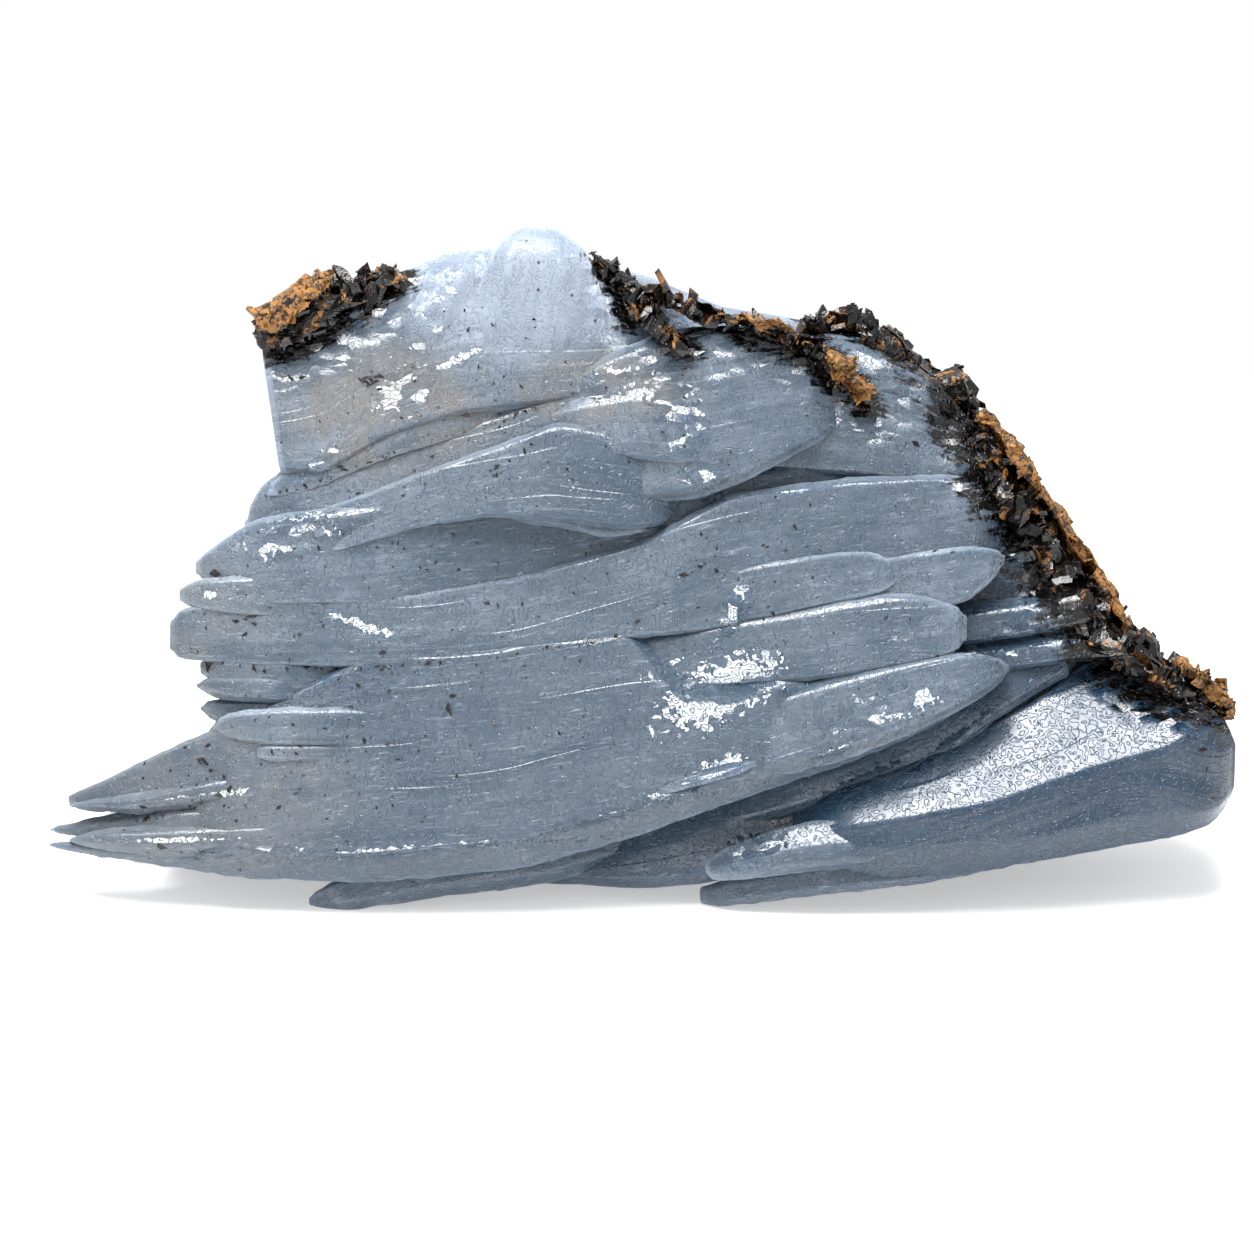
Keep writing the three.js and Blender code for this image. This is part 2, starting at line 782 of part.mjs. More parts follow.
// The six corners of a blade's cross-section at one station, going round from the upper edge
function section(spec, station, grow) {
  const [upperX, upperV, lowerX, lowerV, front] = station;
  const [upperBevel, lowerBevel] = station.length > 5 ? station.slice(5) : spec.bevel;
  const across = new THREE.Vector2(upperX - lowerX, upperV - lowerV);
  const width = across.length() + 2 * grow;
  across.normalize();
  const middle = new THREE.Vector2((upperX + lowerX) / 2, (upperV + lowerV) / 2);
  const tapered = TIP_THICKNESS.least + TIP_THICKNESS.perWidth * width;
  const thick = (spec.blunt ? spec.thick : Math.min(spec.thick, tapered)) + 2 * grow;
  const centre = front + spec.thick / 2;
  const slope = Math.tan(radians(spec.lean));
  const corner = (share, depth) => {
    const reach = (share - 0.5) * width;
    const at = middle.clone().addScaledVector(across, reach);
    return new THREE.Vector3(at.x, centre + (depth - 0.5) * thick + slope * reach, at.y);
  };
  return [
    corner(1, spec.edge),
    corner(1 - upperBevel, 0),
    corner(lowerBevel, 0),
    corner(0, spec.edge),
    corner(lowerBevel, 1),
    corner(1 - upperBevel, 1),
  ];
}

// Moves the first and last cross-section out along the blade, by the same amount that its sides grow
function lengthen(rings, grow) {
  const slide = (ring, next) => {
    const away = ring[0].clone().add(ring[3]).sub(next[0]).sub(next[3]).normalize();
    ring.forEach((corner) => corner.addScaledVector(away, grow));
  };
  slide(rings[0], rings[1]);
  slide(rings.at(-1), rings.at(-2));
}

// A closed solid through the cross-sections at a blade's stations
function loft(spec, grow = 0, rough = 0) {
  const rings = spec.stations.map((station) => section(spec, station, grow));
  if (grow > 0) lengthen(rings, grow);
  if (rough > 0) roughen(rings, rough, spec.stations[0][0]);
  const sides = rings[0].length;
  const faces = [];
  for (let i = 0; i + 1 < rings.length; i++) {
    for (let k = 0; k < sides; k++) {
      const here = i * sides + k;
      const beside = i * sides + ((k + 1) % sides);
      faces.push(here, beside, here + sides, beside, beside + sides, here + sides);
    }
  }
  const last = (rings.length - 1) * sides;
  for (let k = 1; k + 1 < sides; k++) {
    faces.push(0, k + 1, k);
    faces.push(last, last + k, last + k + 1);
  }
  return solidOfGeometry(closedGeometry(rings.flat(), faces));
}

// Lets every corner of a crust wander, less along its length than across it
function roughen(rings, rough, salt) {
  rings.forEach((ring, i) =>
    ring.forEach((corner, k) => {
      corner.x += 0.6 * rough * wander(i, k, salt);
      corner.y += rough * wander(i, k, salt + 1);
      corner.z += rough * wander(i, k, salt + 2);
    }),
  );
}

// Points and triangles as a three.js geometry, turned the right way out
function closedGeometry(points, faces) {
  let volume = 0;
  for (let i = 0; i < faces.length; i += 3) {
    const [a, b, c] = [points[faces[i]], points[faces[i + 1]], points[faces[i + 2]]];
    volume += a.dot(b.clone().cross(c));
  }
  return new THREE.BufferGeometry().setFromPoints(points).setIndex(volume > 0 ? faces : faces.toReversed());
}

// A three.js geometry as a manifold solid
function solidOfGeometry(geometry) {
  geometry.deleteAttribute("normal");
  geometry.deleteAttribute("uv");
  const merged = mergeVertices(geometry, 1e-4);
  return new wasm.Manifold(
    new wasm.Mesh({
      numProp: 3,
      vertProperties: merged.attributes.position.array,
      triVerts: new Uint32Array(merged.index.array),
    }),
  );
}

// A manifold solid as a three.js geometry
function geometryOf(solid) {
  const mesh = solid.getMesh();
  const geometry = new THREE.BufferGeometry();
  geometry.setAttribute("position", new THREE.BufferAttribute(mesh.vertProperties, 3));
  geometry.setIndex(new THREE.BufferAttribute(mesh.triVerts, 1));
  geometry.computeVertexNormals();
  return geometry;
}

const join = (solids) => solids.reduce((whole, next) => whole.add(next));

// The largest piece of a cut solid: a crust keeps the part that still holds together
const largest = (solid) => solid.decompose().reduce((a, b) => (b.volume() > a.volume() ? b : a));

// Everything beyond the wall, moved towards the crystals by inset
function beyondWall(inset = 0) {
  const outline = new THREE.Shape();
  outline.moveTo(WALL[0][0] - inset, WALL[0][1]);
  WALL.slice(1).forEach(([x, v]) => outline.lineTo(x - inset, v));
  outline.lineTo(REACH, WALL.at(-1)[1]);
  outline.lineTo(REACH, REACH);
  outline.lineTo(WALL[0][0] - inset, REACH);
  const block = new THREE.ExtrudeGeometry(outline, { depth: REACH, bevelEnabled: false });
  block.translate(0, 0, -REACH / 2);
  block.rotateX(Math.PI / 2);
  return solidOfGeometry(block);
}

// Everything below the surface that the specimen rests on, in the fan's leaning frame
function belowFloor() {
  const block = new THREE.BoxGeometry(REACH, REACH, REACH);
  block.translate(0, 0, FLOOR_DROP - REACH / 2);
  block.rotateX(radians(FAN_LEAN));
  return solidOfGeometry(block);
}

// Every crystal joined and cut off at the wall. Gaps sealed between blades are filled.
function crystals(grow = 0) {
  const blades = Object.values({ ...CORE, ...FRONT, ...BACK });
  return largest(join(blades.map((spec) => loft(spec, grow)))).subtract(beyondWall(-grow));
}

// A solid drawn in the fan's frame, as a mesh of the finished specimen
function piece(name, solid, finish) {
  const mesh = new THREE.Mesh(geometryOf(solid), new THREE.MeshStandardMaterial(COLOURS[finish]));
  mesh.name = name;
  return mesh;
}

const barite = crystals().subtract(belowFloor());
const grownBarite = crystals(CRUST_GAP);

const fan = new THREE.Group();
fan.add(piece("barite_crystals", barite, "barite"));

// Black crust goes on first and ochre over it, so each stands clear of everything laid before it
const laid = [grownBarite];
for (const [name, { finish, rough, parts }] of Object.entries(CRUSTS)) {
  const whole = join(parts.map((part) => loft(part, 0, rough)));
  const kept = laid.reduce((solid, under) => solid.subtract(under), whole);
  fan.add(piece(name, largest(kept), finish));
  laid.push(...parts.map((part) => loft(part, CRUST_GAP, rough)));
}

// The fan stands leaning back, with the surface that it rests on at z = 0
fan.rotation.x = -radians(FAN_LEAN);
fan.position.set(-CENTRE.x, -CENTRE.y, -FLOOR_DROP);

const specimen = new THREE.Group();
specimen.add(fan);

export default specimen;
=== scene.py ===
"""A hand-sized cluster of pale blue barite: a fan of bladed crystals grown through one another.

It is rooted along a slanting edge of black manganese oxide and ochre iron oxide.
"""

import math
import random

import bmesh
import bpy
import numpy as np
from bpy.props import FloatProperty, FloatVectorProperty, PointerProperty
from mathutils import Matrix, Vector, noise
from mathutils.bvhtree import BVHTree


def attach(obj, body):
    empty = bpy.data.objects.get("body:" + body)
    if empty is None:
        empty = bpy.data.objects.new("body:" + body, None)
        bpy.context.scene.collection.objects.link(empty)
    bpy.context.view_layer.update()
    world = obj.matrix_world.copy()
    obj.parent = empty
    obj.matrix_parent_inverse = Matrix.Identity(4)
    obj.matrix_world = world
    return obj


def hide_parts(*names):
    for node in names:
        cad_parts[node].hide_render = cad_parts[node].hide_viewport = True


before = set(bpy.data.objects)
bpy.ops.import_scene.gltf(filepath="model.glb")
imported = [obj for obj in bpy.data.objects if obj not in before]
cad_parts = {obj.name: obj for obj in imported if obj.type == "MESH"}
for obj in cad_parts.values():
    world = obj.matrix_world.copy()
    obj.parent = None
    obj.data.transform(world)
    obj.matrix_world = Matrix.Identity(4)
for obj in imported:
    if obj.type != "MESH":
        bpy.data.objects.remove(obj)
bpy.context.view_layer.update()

bl_info = {
    "name": "Barite crystal cluster",
    "version": (1, 0, 0),
    "blender": (4, 5, 0),
    "location": "View3D > Sidebar > Barite",
    "description": "Builds a fan of barite crystals with its oxide crusts, and the stage that it stands on",
    "category": "Object",
}

# The fan's own frame, in millimetres: x across, w into the fan and v up it. It leans back from upright.
FAN_LEAN = math.radians(13)
FAN_SHIFT = Vector((-0.025, -5.38, -2.45))
MILLIMETRE = 0.001
FAN = Matrix.Scale(MILLIMETRE, 4) @ Matrix.Translation(FAN_SHIFT) @ Matrix.Rotation(-FAN_LEAN, 4, "X")

# Farther than anything reaches, in millimetres, and a length too small to see
FAR_OFF = 200.0
TINY = 1e-6

# A blade thins towards a narrow tip: how thick it may be there, and more for each millimetre of width
TIP_THICKNESS = 0.9
TIP_THICKNESS_PER_WIDTH = 0.75

# The ridge crust stays below this ragged line along the crest, as x and v
CREST = (
    (-6, -2, 1.5, 6, 8.5, 13.5, 16.5, 18, 21, 26, 31, 36),
    (66, 64.2, 62.4, 60.8, 59.2, 58.6, 57.6, 59.2, 59.8, 58.2, 55.2, 50),
)
NO_CREST = ((-40, 70), (80, 80))

# How a crust is broken up: how far its skin is drawn in, in millimetres, how many times further in its
# gaps, how wide and high its plates are for the sizes given, how many loose flakes it has to each
# square millimetre, and the line that it stays below
THICK_CRUST = {"sink": 0.5, "gaps": 2.4, "plates": 1.0, "lumps": 1.0, "flakes": 0.2, "crest": NO_CREST}
THIN_CRUST = {"sink": 1.0, "gaps": 5.0, "plates": 0.8, "lumps": 0.9, "flakes": 0.12, "crest": CREST}
SOLID_RIND = {"sink": 0.25, "gaps": 3.0, "plates": 1.3, "lumps": 0.65, "flakes": 0.06, "crest": NO_CREST}
THIN_RIND = {"sink": 0.9, "gaps": 2.4, "plates": 1.0, "lumps": 0.6, "flakes": 0.06, "crest": CREST}

# The skin is never drawn in by more than this share of the crust's thickness
DEEPEST_SINK = 0.4

# How much the plates of a crust tilt, how much they stand apart and how much the whole crust swells
PLATE_TILT = 1.2
PLATE_STEP = 0.9
CRUST_SWELL = 0.6

# The crusts: the solid that each one stands for, and how it is broken up
BLACK_CRUSTS = {
    "black_edge_crust": ("black_oxide_edge_crust", THICK_CRUST),
    "black_ridge_crust": ("black_oxide_ridge_crust", THIN_CRUST),
    "black_corner_crust": ("black_oxide_corner_crust", THICK_CRUST),
}
OCHRE_CRUSTS = {
    "ochre_corner_rind": ("ochre_corner_crust", SOLID_RIND),
    "ochre_edge_rind": ("ochre_edge_crust", SOLID_RIND),
    "ochre_foot_rind": ("ochre_foot_crust", SOLID_RIND),
    "ochre_ridge_rind": ("ochre_ridge_crust", THIN_RIND),
    "ochre_ridge_end_rind": ("ochre_ridge_end_crust", THIN_RIND),
}

# Stored distances from the crusts, in millimetres, and from the zones of glints go no further than this
STORED_LIMIT = 12.0

# How finely a blade is divided, in millimetres: along it, round its front and round its back. The blades
# in front, those at the back and those inside the fan differ.
FINE = {"along": 0.9, "front": 0.42, "back": 2.6}
FAR = {"along": 1.8, "front": 2.6, "back": 0.8}
HEART = {"along": 2.0, "front": 1.0, "back": 1.2}


def blade(
    stations, thick, bevel=(0.14, 0.14), edge=0.5, lean=0.0, blunt=False, tone=(0.5, 0.5), facet=0.0
):
    """One crystal, drawn across x and up v in the plane of the fan, with w as its depth.

    A station is x and v of the upper edge, x and v of the lower edge and w of the front face. It may
    end in the shares of the width that the upper and lower edge faces take there, where they differ
    from bevel. thick is front to back, edge how deep the sharp edge lies, and lean tips the upper edge
    away. tone is how pale and milky the crystal is at its first and last station; where a blade lies deep
    in a cleft, its low tone is painted shade. facet is how steeply the face along the upper edge leans
    back, where it is an even facet.
    """
    return {
        "stations": [s + bevel if len(s) == 5 else s for s in stations],
        "thick": thick,
        "edge": edge,
        "slope": math.tan(math.radians(lean)),
        "blunt": blunt,
        "tone": tone,
        "facet": facet,
    }


# The blades inside the fan, those that its front shows and those at the back
CORE = {
    "core_upper": blade(
        [(-34.5, 56, -33, 47, -6), (-24, 61, -22, 42, -7), (-8, 64, -6, 42, -8), (10, 58, 12, 40, -8),
         (28, 52, 32, 36, -8), (40, 43, 44, 33, -7)], thick=15, tone=(0.6, 0.4),
    ),
    "core_middle": blade(
        [(-42.5, 35, -42.5, 27, -8), (-30, 41, -30, 20, -9), (0, 46, 0, 18, -10), (30, 46, 32, 22, -9),
         (46, 36, 52, 26, -8)], thick=16, tone=(0.3, 0.24),
    ),
    "core_lower": blade(
        [(-50, 13, -50, 7.5, -7), (-40, 21, -40, 6, -9), (-10, 26, -10, 5, -10), (20, 26, 22, 8, -9),
         (46, 28, 57, 13, -7)], thick=15, tone=(0.2, 0.1),
    ),
    "right_root": blade(
        [(24, 36, 27, 23, -7), (34, 39, 36, 24, -8.4), (41, 42, 45, 25.5, -8.4), (45, 37, 52, 27, -7.4)],
        thick=12, tone=(0.36, 0.26),
    ),
    "upper_right_root": blade(
        [(2, 58, 4, 44, -9), (12, 58.4, 14, 43, -12), (22, 58, 25, 42, -12.8), (31, 53, 34, 41, -12),
         (38, 46.5, 42, 38, -9)], thick=12, bevel=(0.12, 0.1), edge=0.24, tone=(0.6, 0.57),
    ),
    # This blade's low tone is painted shade for the deep, dark cleft under the front blades
    "cleft_blade": blade(
        [(-18, 5.6, -18, 3, -8.6), (-8, 9, -8, 2.6, -10.6), (2, 12, 2, 2.2, -11.6),
         (12, 15, 12, 3.6, -11.8), (22, 18.6, 22, 7.5, -11.4), (32, 23, 32, 12, -10),
         (43, 27.5, 44, 18, -8.6), (50, 28.5, 52, 21, -6.5)], thick=12, bevel=(0.1, 0.12), edge=0.2,
        lean=12, tone=(0.34, 0.16),
    ),
    "crest_right": blade(
        [(-9, 66.4, -8, 55, 0.5), (-1, 65.4, 0, 54, 0.5), (6, 63, 6, 51, 1), (14, 60.9, 14, 49, 1),
         (22, 59, 22, 47, 1), (31, 52.5, 31, 43, 1), (39, 45.5, 40, 37, 1)], thick=9, bevel=(0.18, 0.1),
        tone=(0.86, 0.7),
    ),
    "crest_left": blade(
        [(-27, 62.5, -26, 50, -5), (-21.4, 66.3, -20, 54, -5), (-14.5, 67.2, -13, 54, -5),
         (-6, 66, -4, 54, -5)], thick=8, bevel=(0.2, 0.1), tone=(0.8, 0.8),
    ),
}

FRONT = {
    "upper_left_block": blade(
        [(-38, 58, -35.8, 43.6, -12.2), (-32, 60.6, -31.4, 43.2, -13), (-25, 63.8, -25, 47, -13.4),
         (-18, 65.6, -17, 49.4, -13.4), (-9, 66, -8, 50.4, -13.2), (-3, 64.6, 1, 52, -12.6),
         (4.6, 60.6, 8, 53, -11)], thick=12, bevel=(0.14, 0.05), edge=0.12, lean=6, tone=(0.62, 0.6),
    ),
    "steep_blade_left": blade(
        [(-25.6, 50.2, -19.6, 50.8, -12.8), (-25.2, 54.6, -18.8, 55.2, -14),
         (-23.4, 59.4, -16.6, 59.8, -14.2), (-21.8, 63.2, -14.6, 64, -13.4),
         (-20.4, 65.6, -14.8, 66.4, -12.4)], thick=7, bevel=(0.16, 0.4), edge=0.12, tone=(0.64, 0.76),
    ),
    "dome": blade(
        [(-19, 53.4, -4, 52, -12.4), (-18.6, 57, -3.4, 55.6, -13.5), (-17.2, 60.4, -3.2, 59.4, -13.9),
         (-15.8, 63.6, -4, 63, -14), (-14.4, 66.8, -5.6, 66.4, -13.6), (-12.8, 68.2, -7.6, 68, -12),
         (-12, 68.8, -8.6, 68.7, -9.8)], thick=9, bevel=(0.2, 0.3), edge=0.14, blunt=True,
        tone=(0.62, 0.7),
    ),
    "upper_lath": blade(
        [(-36.8, 43, -37.2, 41.4, -12.8), (-34, 44.6, -34, 41.6, -13.3), (-30, 46.4, -30, 43.2, -13.7),
         (-25, 48.9, -25, 45.2, -13.9), (-19, 50.8, -19, 47, -13.8), (-12, 52.6, -12, 48.8, -12.6)],
        thick=4, bevel=(0.3, 0.4), edge=0.12, lean=6, tone=(0.6, 0.56),
    ),
    "upper_band": blade(
        [(-39.7, 39.4, -39.8, 38.3, -11.6), (-38.4, 42.2, -37.4, 36.6, -12.8),
         (-35.4, 44.7, -33, 37, -13.6), (-27, 46.8, -26, 38, -13.9), (-16, 50, -16, 41, -14.1),
         (-6, 53.4, -6, 43, -14.2), (2, 55, 2, 44, -14), (9, 54, 9, 45, -12.4)], thick=9,
        bevel=(0.16, 0.06), edge=0.08, lean=6, tone=(0.68, 0.44),
    ),
    "upper_right_fan": blade(
        [(-10, 52, -6, 41, -13.2), (-4, 55.4, 0, 40.6, -14.9), (3, 58.2, 6, 41.2, -15.3),
         (9, 58.6, 11, 43.2, -15.1), (14, 57.4, 15, 45.3, -14.6), (18.6, 54.8, 18.9, 47.6, -13.8),
         (23, 51, 22.8, 50, -12.6)], thick=8, bevel=(0.06, 0.07), edge=0.16, lean=6, tone=(0.52, 0.62),
    ),
    "upper_right_lath": blade(
        [(-12, 49.6, -12, 45, -13), (-6, 51.4, -6, 45.4, -14.9), (0, 52.6, 0, 45, -15.9),
         (4.4, 52, 4.6, 44.4, -16), (6.6, 49.4, 7.4, 44.4, -15)], thick=4, bevel=(0.2, 0.06), edge=0.2,
        lean=6, tone=(0.54, 0.6),
    ),
    "upper_front": blade(
        [(-38.6, 38.2, -38.8, 36.2, -13.4), (-35, 39.6, -34.8, 35.1, -14.7), (-29, 41.2, -29.6, 36, -15.4),
         (-22, 43.8, -22, 38.4, -15.9), (-14, 46.6, -15, 39.4, -16.2), (-8, 49, -9, 38.9, -16.1),
         (-1, 47.6, -1.6, 38.1, -16), (2.6, 45.4, 2, 38.4, -15.8), (5, 43, 3.4, 39.6, -15.2)], thick=8,
        bevel=(0.06, 0.05), edge=0.1, lean=6, tone=(0.72, 0.38),
    ),
    "upper_front_tooth": blade(
        [(-14, 42, -14, 39, -13.6), (-6, 40.4, -6, 38, -15.4), (-3.4, 38.8, -3.8, 37.2, -15.4),
         (0.6, 38.6, 0.6, 37.9, -14.4)], thick=2.4, edge=0.3, tone=(0.5, 0.56),
    ),
    "recess_blade": blade(
        [(-44.6, 35.2, -44.6, 33.7, -11.8), (-41.8, 37.2, -42, 32.4, -13.2), (-38, 39.4, -38, 30.6, -13.9),
         (-24, 41.4, -24, 30.6, -13.8), (-8, 43, -8, 32.6, -13.2), (8, 44, 8, 36, -12.8),
         (22, 46, 22, 38, -11.6)], thick=8, bevel=(0.1, 0.03), edge=0.12, lean=-4, tone=(0.66, 0.26),
    ),
    "blunt_blade": blade(
        [(-46.1, 32.4, -46.1, 31, -11.8), (-44, 33.4, -44, 30.2, -13.2), (-38, 33.8, -38, 29.4, -13.9),
         (-26, 34, -26, 30, -12)], thick=5, bevel=(0.16, 0.06), edge=0.16, tone=(0.64, 0.44),
    ),
    "middle_broad": blade(
        [(-47, 29.2, -47, 26, -13.4), (-46.4, 30.4, -46.4, 25.3, -14), (-38, 31.3, -38, 24.6, -14.8),
         (-24, 31.8, -24, 24.4, -15), (-12, 33.6, -12, 25.6, -14.9), (0, 37, 0, 27.4, -14.9),
         (9, 41.9, 9, 28.2, -14.8), (20, 43.3, 20, 30, -14.4), (28, 43.8, 28, 30.6, -13.8),
         (33.2, 43.6, 32.6, 32.4, -13), (36.6, 40.8, 36, 35.8, -12), (38.8, 38.6, 38.4, 37.6, -11)],
        thick=9, bevel=(0.05, 0.03), edge=0.12, lean=3, tone=(0.52, 0.58),
    ),
    "leaf_upper": blade(
        [(-2, 31.6, -2, 27.6, -13.8), (6, 33.6, 7, 28.6, -14.9), (12, 34.9, 13, 29.4, -15.2),
         (18, 35.8, 19, 30.8, -15.3), (22.4, 36.2, 23.4, 31.6, -15.2), (25, 35.2, 25.8, 32.6, -14.9),
         (25.6, 34.6, 26, 33.6, -14.6)], thick=3, bevel=(0.07, 0.05), edge=0.14, lean=5, tone=(0.5, 0.62),
    ),
    "leaf_right": blade(
        [(14, 34, 16, 30.2, -13.6), (21, 35, 23, 29.6, -14.7), (28, 36, 28.6, 29.8, -14.8),
         (32.6, 36.6, 32.8, 31.2, -14.5), (35.4, 36.4, 35.2, 33.2, -14), (36.4, 35.8, 36.2, 34.6, -13.4)],
        thick=3.4, bevel=(0.06, 0.05), edge=0.14, lean=5, tone=(0.54, 0.62),
    ),
    "leaf_middle": blade(
        [(0, 27.4, 1, 22, -14), (8, 29, 9, 22.6, -15.4), (14, 30, 15, 23, -16),
         (20, 31.2, 20.4, 23.6, -16.2), (25, 32, 25.6, 24.4, -16.1), (29, 31.6, 29.4, 25.2, -15.8),
         (31.8, 30.6, 31.8, 26.2, -15.4), (32.4, 29.8, 32.4, 27, -15)], thick=4, bevel=(0.1, 0.06),
        edge=0.16, lean=6, tone=(0.46, 0.6),
    ),
    "middle_step": blade(
        [(7.8, 33, 8, 27.4, -14.2), (8.8, 33.6, 8.4, 26.6, -15.7), (10.6, 33.2, 9.8, 27, -15.7),
         (11.6, 32.4, 11, 27.6, -14)], thick=2.4, bevel=(0.3, 0.3), edge=0.6, blunt=True,
        tone=(0.56, 0.56),
    ),
    "lower_front": blade(
        [(-50, 9, -50, 5.4, -11.4), (-41, 21, -41, 3.6, -13.8), (-28, 25.8, -27, 3, -14.8, 0.03, 0.13),
         (-14, 27, -12, 4.4, -15.3, 0.03, 0.14), (-1, 28.6, 0, 7.8, -15.8, 0.04, 0.14),
         (4, 28, 5, 9.6, -16.2, 0.4, 0.14), (9, 27, 10, 11.4, -16.5, 0.38, 0.15),
         (13.4, 26.4, 14, 12.8, -16.6, 0.26, 0.16), (18, 25.6, 19, 14.4, -16.6, 0.28, 0.17),
         (23, 25.4, 24, 16.2, -16.4, 0.24, 0.18), (30, 26.3, 30.6, 19.2, -15.6, 0.2, 0.24),
         (34.6, 25.9, 35, 21.8, -14.4, 0.2, 0.3), (36.5, 24.8, 36.7, 24, -13.4, 0.2, 0.3)], thick=11,
        edge=0.2, lean=6, tone=(0.34, 0.48),
    ),
    "lower_front_leaf": blade(
        [(6, 19.6, 8, 13.4, -15.2), (12, 21.6, 14, 13.8, -16.8), (18, 23.4, 19.4, 15, -17.5),
         (24, 24.9, 24.6, 17, -17.6), (30, 26.1, 30.4, 19.6, -17), (34.4, 25.9, 34.8, 22, -16),
         (36.6, 25, 36.7, 24, -15.2)], thick=4, bevel=(0.1, 0.16), edge=0.3, lean=10, tone=(0.48, 0.6),
    ),
    "lower_front_step": blade(
        [(-2, 12.4, -1, 10.8, -15.6), (4, 15, 5, 12.4, -17.4), (9.8, 16.4, 10, 13.8, -17.8),
         (12.2, 16.2, 12.2, 15.2, -16.6)], thick=3, bevel=(0.6, 0.1), edge=0.8, blunt=True,
        tone=(0.5, 0.56),
    ),
    "left_stub_upper": blade(
        [(-44, 25.2, -43.9, 23.6, -11.8), (-42, 25.4, -42, 22.8, -13.4), (-35, 25.2, -35, 22, -13.9),
         (-26, 24.6, -26, 22.4, -12.4)], thick=4, bevel=(0.1, 0.1), edge=0.3, tone=(0.56, 0.5),
    ),
    "left_stub_middle": blade(
        [(-44.4, 22.9, -44.3, 22.3, -11.8), (-43, 23.8, -42.6, 21.3, -13.2), (-37, 23.6, -37, 20.8, -14.4),
         (-28, 23.2, -28, 20.8, -12.6)], thick=4, bevel=(0.16, 0.2), edge=0.3, tone=(0.5, 0.46),
    ),
    "left_stub_lower": blade(
        [(-44.1, 20.7, -44, 20, -11), (-43.2, 21.4, -42.8, 18.9, -12.4), (-37, 21.6, -37, 17.8, -13.8),
         (-28, 21, -28, 18, -12.4)], thick=5, bevel=(0.2, 0.1), edge=0.3, tone=(0.44, 0.46),
    ),
    "left_prism": blade(
        [(-42.6, 18.9, -42.5, 18, -13.4), (-41.4, 20, -41, 17.3, -14.2), (-36, 20.6, -36, 16.6, -14.7),
         (-30, 20.6, -30, 16.6, -14.7), (-20, 20.2, -20, 17, -13.8)], thick=4, bevel=(0.14, 0.1),
        edge=0.14, tone=(0.6, 0.46),
    ),
    "left_small_prism": blade(
        [(-38.8, 16.5, -38.7, 15.7, -14.1), (-37.6, 17.1, -37.6, 15.1, -14.9), (-32, 17, -32, 15, -15),
         (-22, 16.8, -22, 15.2, -13.9)], thick=3, bevel=(0.24, 0.2), edge=0.24, tone=(0.62, 0.5),
    ),
    "spear_upper": blade(
        [(-57.6, 11.6, -57.4, 10.5, -9.6), (-55, 12.6, -55, 9.8, -10.6), (-45.6, 17.1, -46, 10.4, -12.6),
         (-40, 19.2, -38, 11, -13.7), (-26, 20.6, -26, 12, -13)], thick=6, bevel=(0.06, 0.12), edge=0.3,
        lean=6, tone=(0.4, 0.46),
    ),
    "spear_ridge": blade(
        [(-57.3, 10.9, -57.2, 10.5, -10.4), (-50, 12, -50, 9.6, -12.4), (-42, 14, -42, 10.6, -14),
         (-30, 16, -30, 12, -13.2)], thick=3, bevel=(0.3, 0.3), edge=0.4, tone=(0.42, 0.46),
    ),
    "spear_middle": blade(
        [(-59.5, 8.3, -59.4, 7.8, -8.4), (-55, 9.4, -55, 7.1, -10.4), (-47, 11.4, -47, 7, -13),
         (-38, 12.4, -38, 7.4, -14.4), (-26, 12.4, -26, 8, -13.4)], thick=5, bevel=(0.4, 0.2), edge=0.4,
        tone=(0.46, 0.46),
    ),
    "spear_glassy": blade(
        [(-57.2, 7.4, -57.2, 6.8, -11), (-54, 8.4, -54, 6.2, -12.8), (-46, 9.2, -46, 5.4, -14.2),
         (-37, 9.8, -37, 5.6, -15.2), (-26, 9.6, -26, 6, -13.8)], thick=5, bevel=(0.3, 0.3), edge=0.36,
        tone=(0.42, 0.44),
    ),
    "spear_lower": blade(
        [(-59.4, 6.8, -59.3, 6.4, -9.6), (-54.6, 7.2, -54.6, 5.5, -11), (-46, 7.6, -46, 4.4, -12.8),
         (-38, 8, -38, 3.2, -13.8), (-28, 8, -28, 4, -12.6)], thick=4.4, bevel=(0.3, 0.3), edge=0.36,
        tone=(0.42, 0.38),
    ),
    "foot_sliver": blade(
        [(-33.3, 1.4, -33.1, 0, -10.4), (-31, 3, -30, -0.1, -12), (-22, 6, -22, 1.2, -12.6),
         (-10, 8, -10, 2.6, -11.6), (0, 11, 0, 5, -8.6)], thick=6, bevel=(0.1, 0.24), edge=0.3,
        tone=(0.6, 0.3),
    ),
    "right_plate_upper": blade(
        [(22, 30, 22, 26.4, -10.6), (31, 30.8, 31, 26.4, -12.4), (38, 31.6, 39, 27.6, -12.4),
         (47, 34, 48, 29, -10.6)], thick=4, bevel=(0.3, 0.1), edge=0.3, lean=6, tone=(0.36, 0.26),
    ),
    "right_plate_lower": blade(
        [(26, 27, 26, 23.4, -10.6), (34, 27.4, 34.6, 23.8, -12.2), (42, 28.6, 43, 25, -12),
         (50, 29, 52, 25.4, -9.6)], thick=4, bevel=(0.4, 0.1), edge=0.3, lean=6, tone=(0.36, 0.24),
    ),
    # This plate's low tone is painted shade for the deep, dark cleft that it lies in
    "cleft_plate": blade(
        [(8, 13.4, 9, 8, -9.6), (15, 15, 16, 10, -12), (22, 17.4, 23, 12.6, -12.6),
         (30, 21, 31, 15.4, -12.6), (35, 25, 36, 19.6, -12), (42, 28.6, 43, 23.6, -10)], thick=3,
        bevel=(0.06, 0.2), edge=0.3, lean=14, tone=(0.36, 0.24),
    ),
    "lower_right_tip": blade(
        [(6.3, 5.2, 6.4, 3.8, -13.4), (7.6, 6.2, 7.6, 3, -15), (12, 8, 12, 3.6, -16),
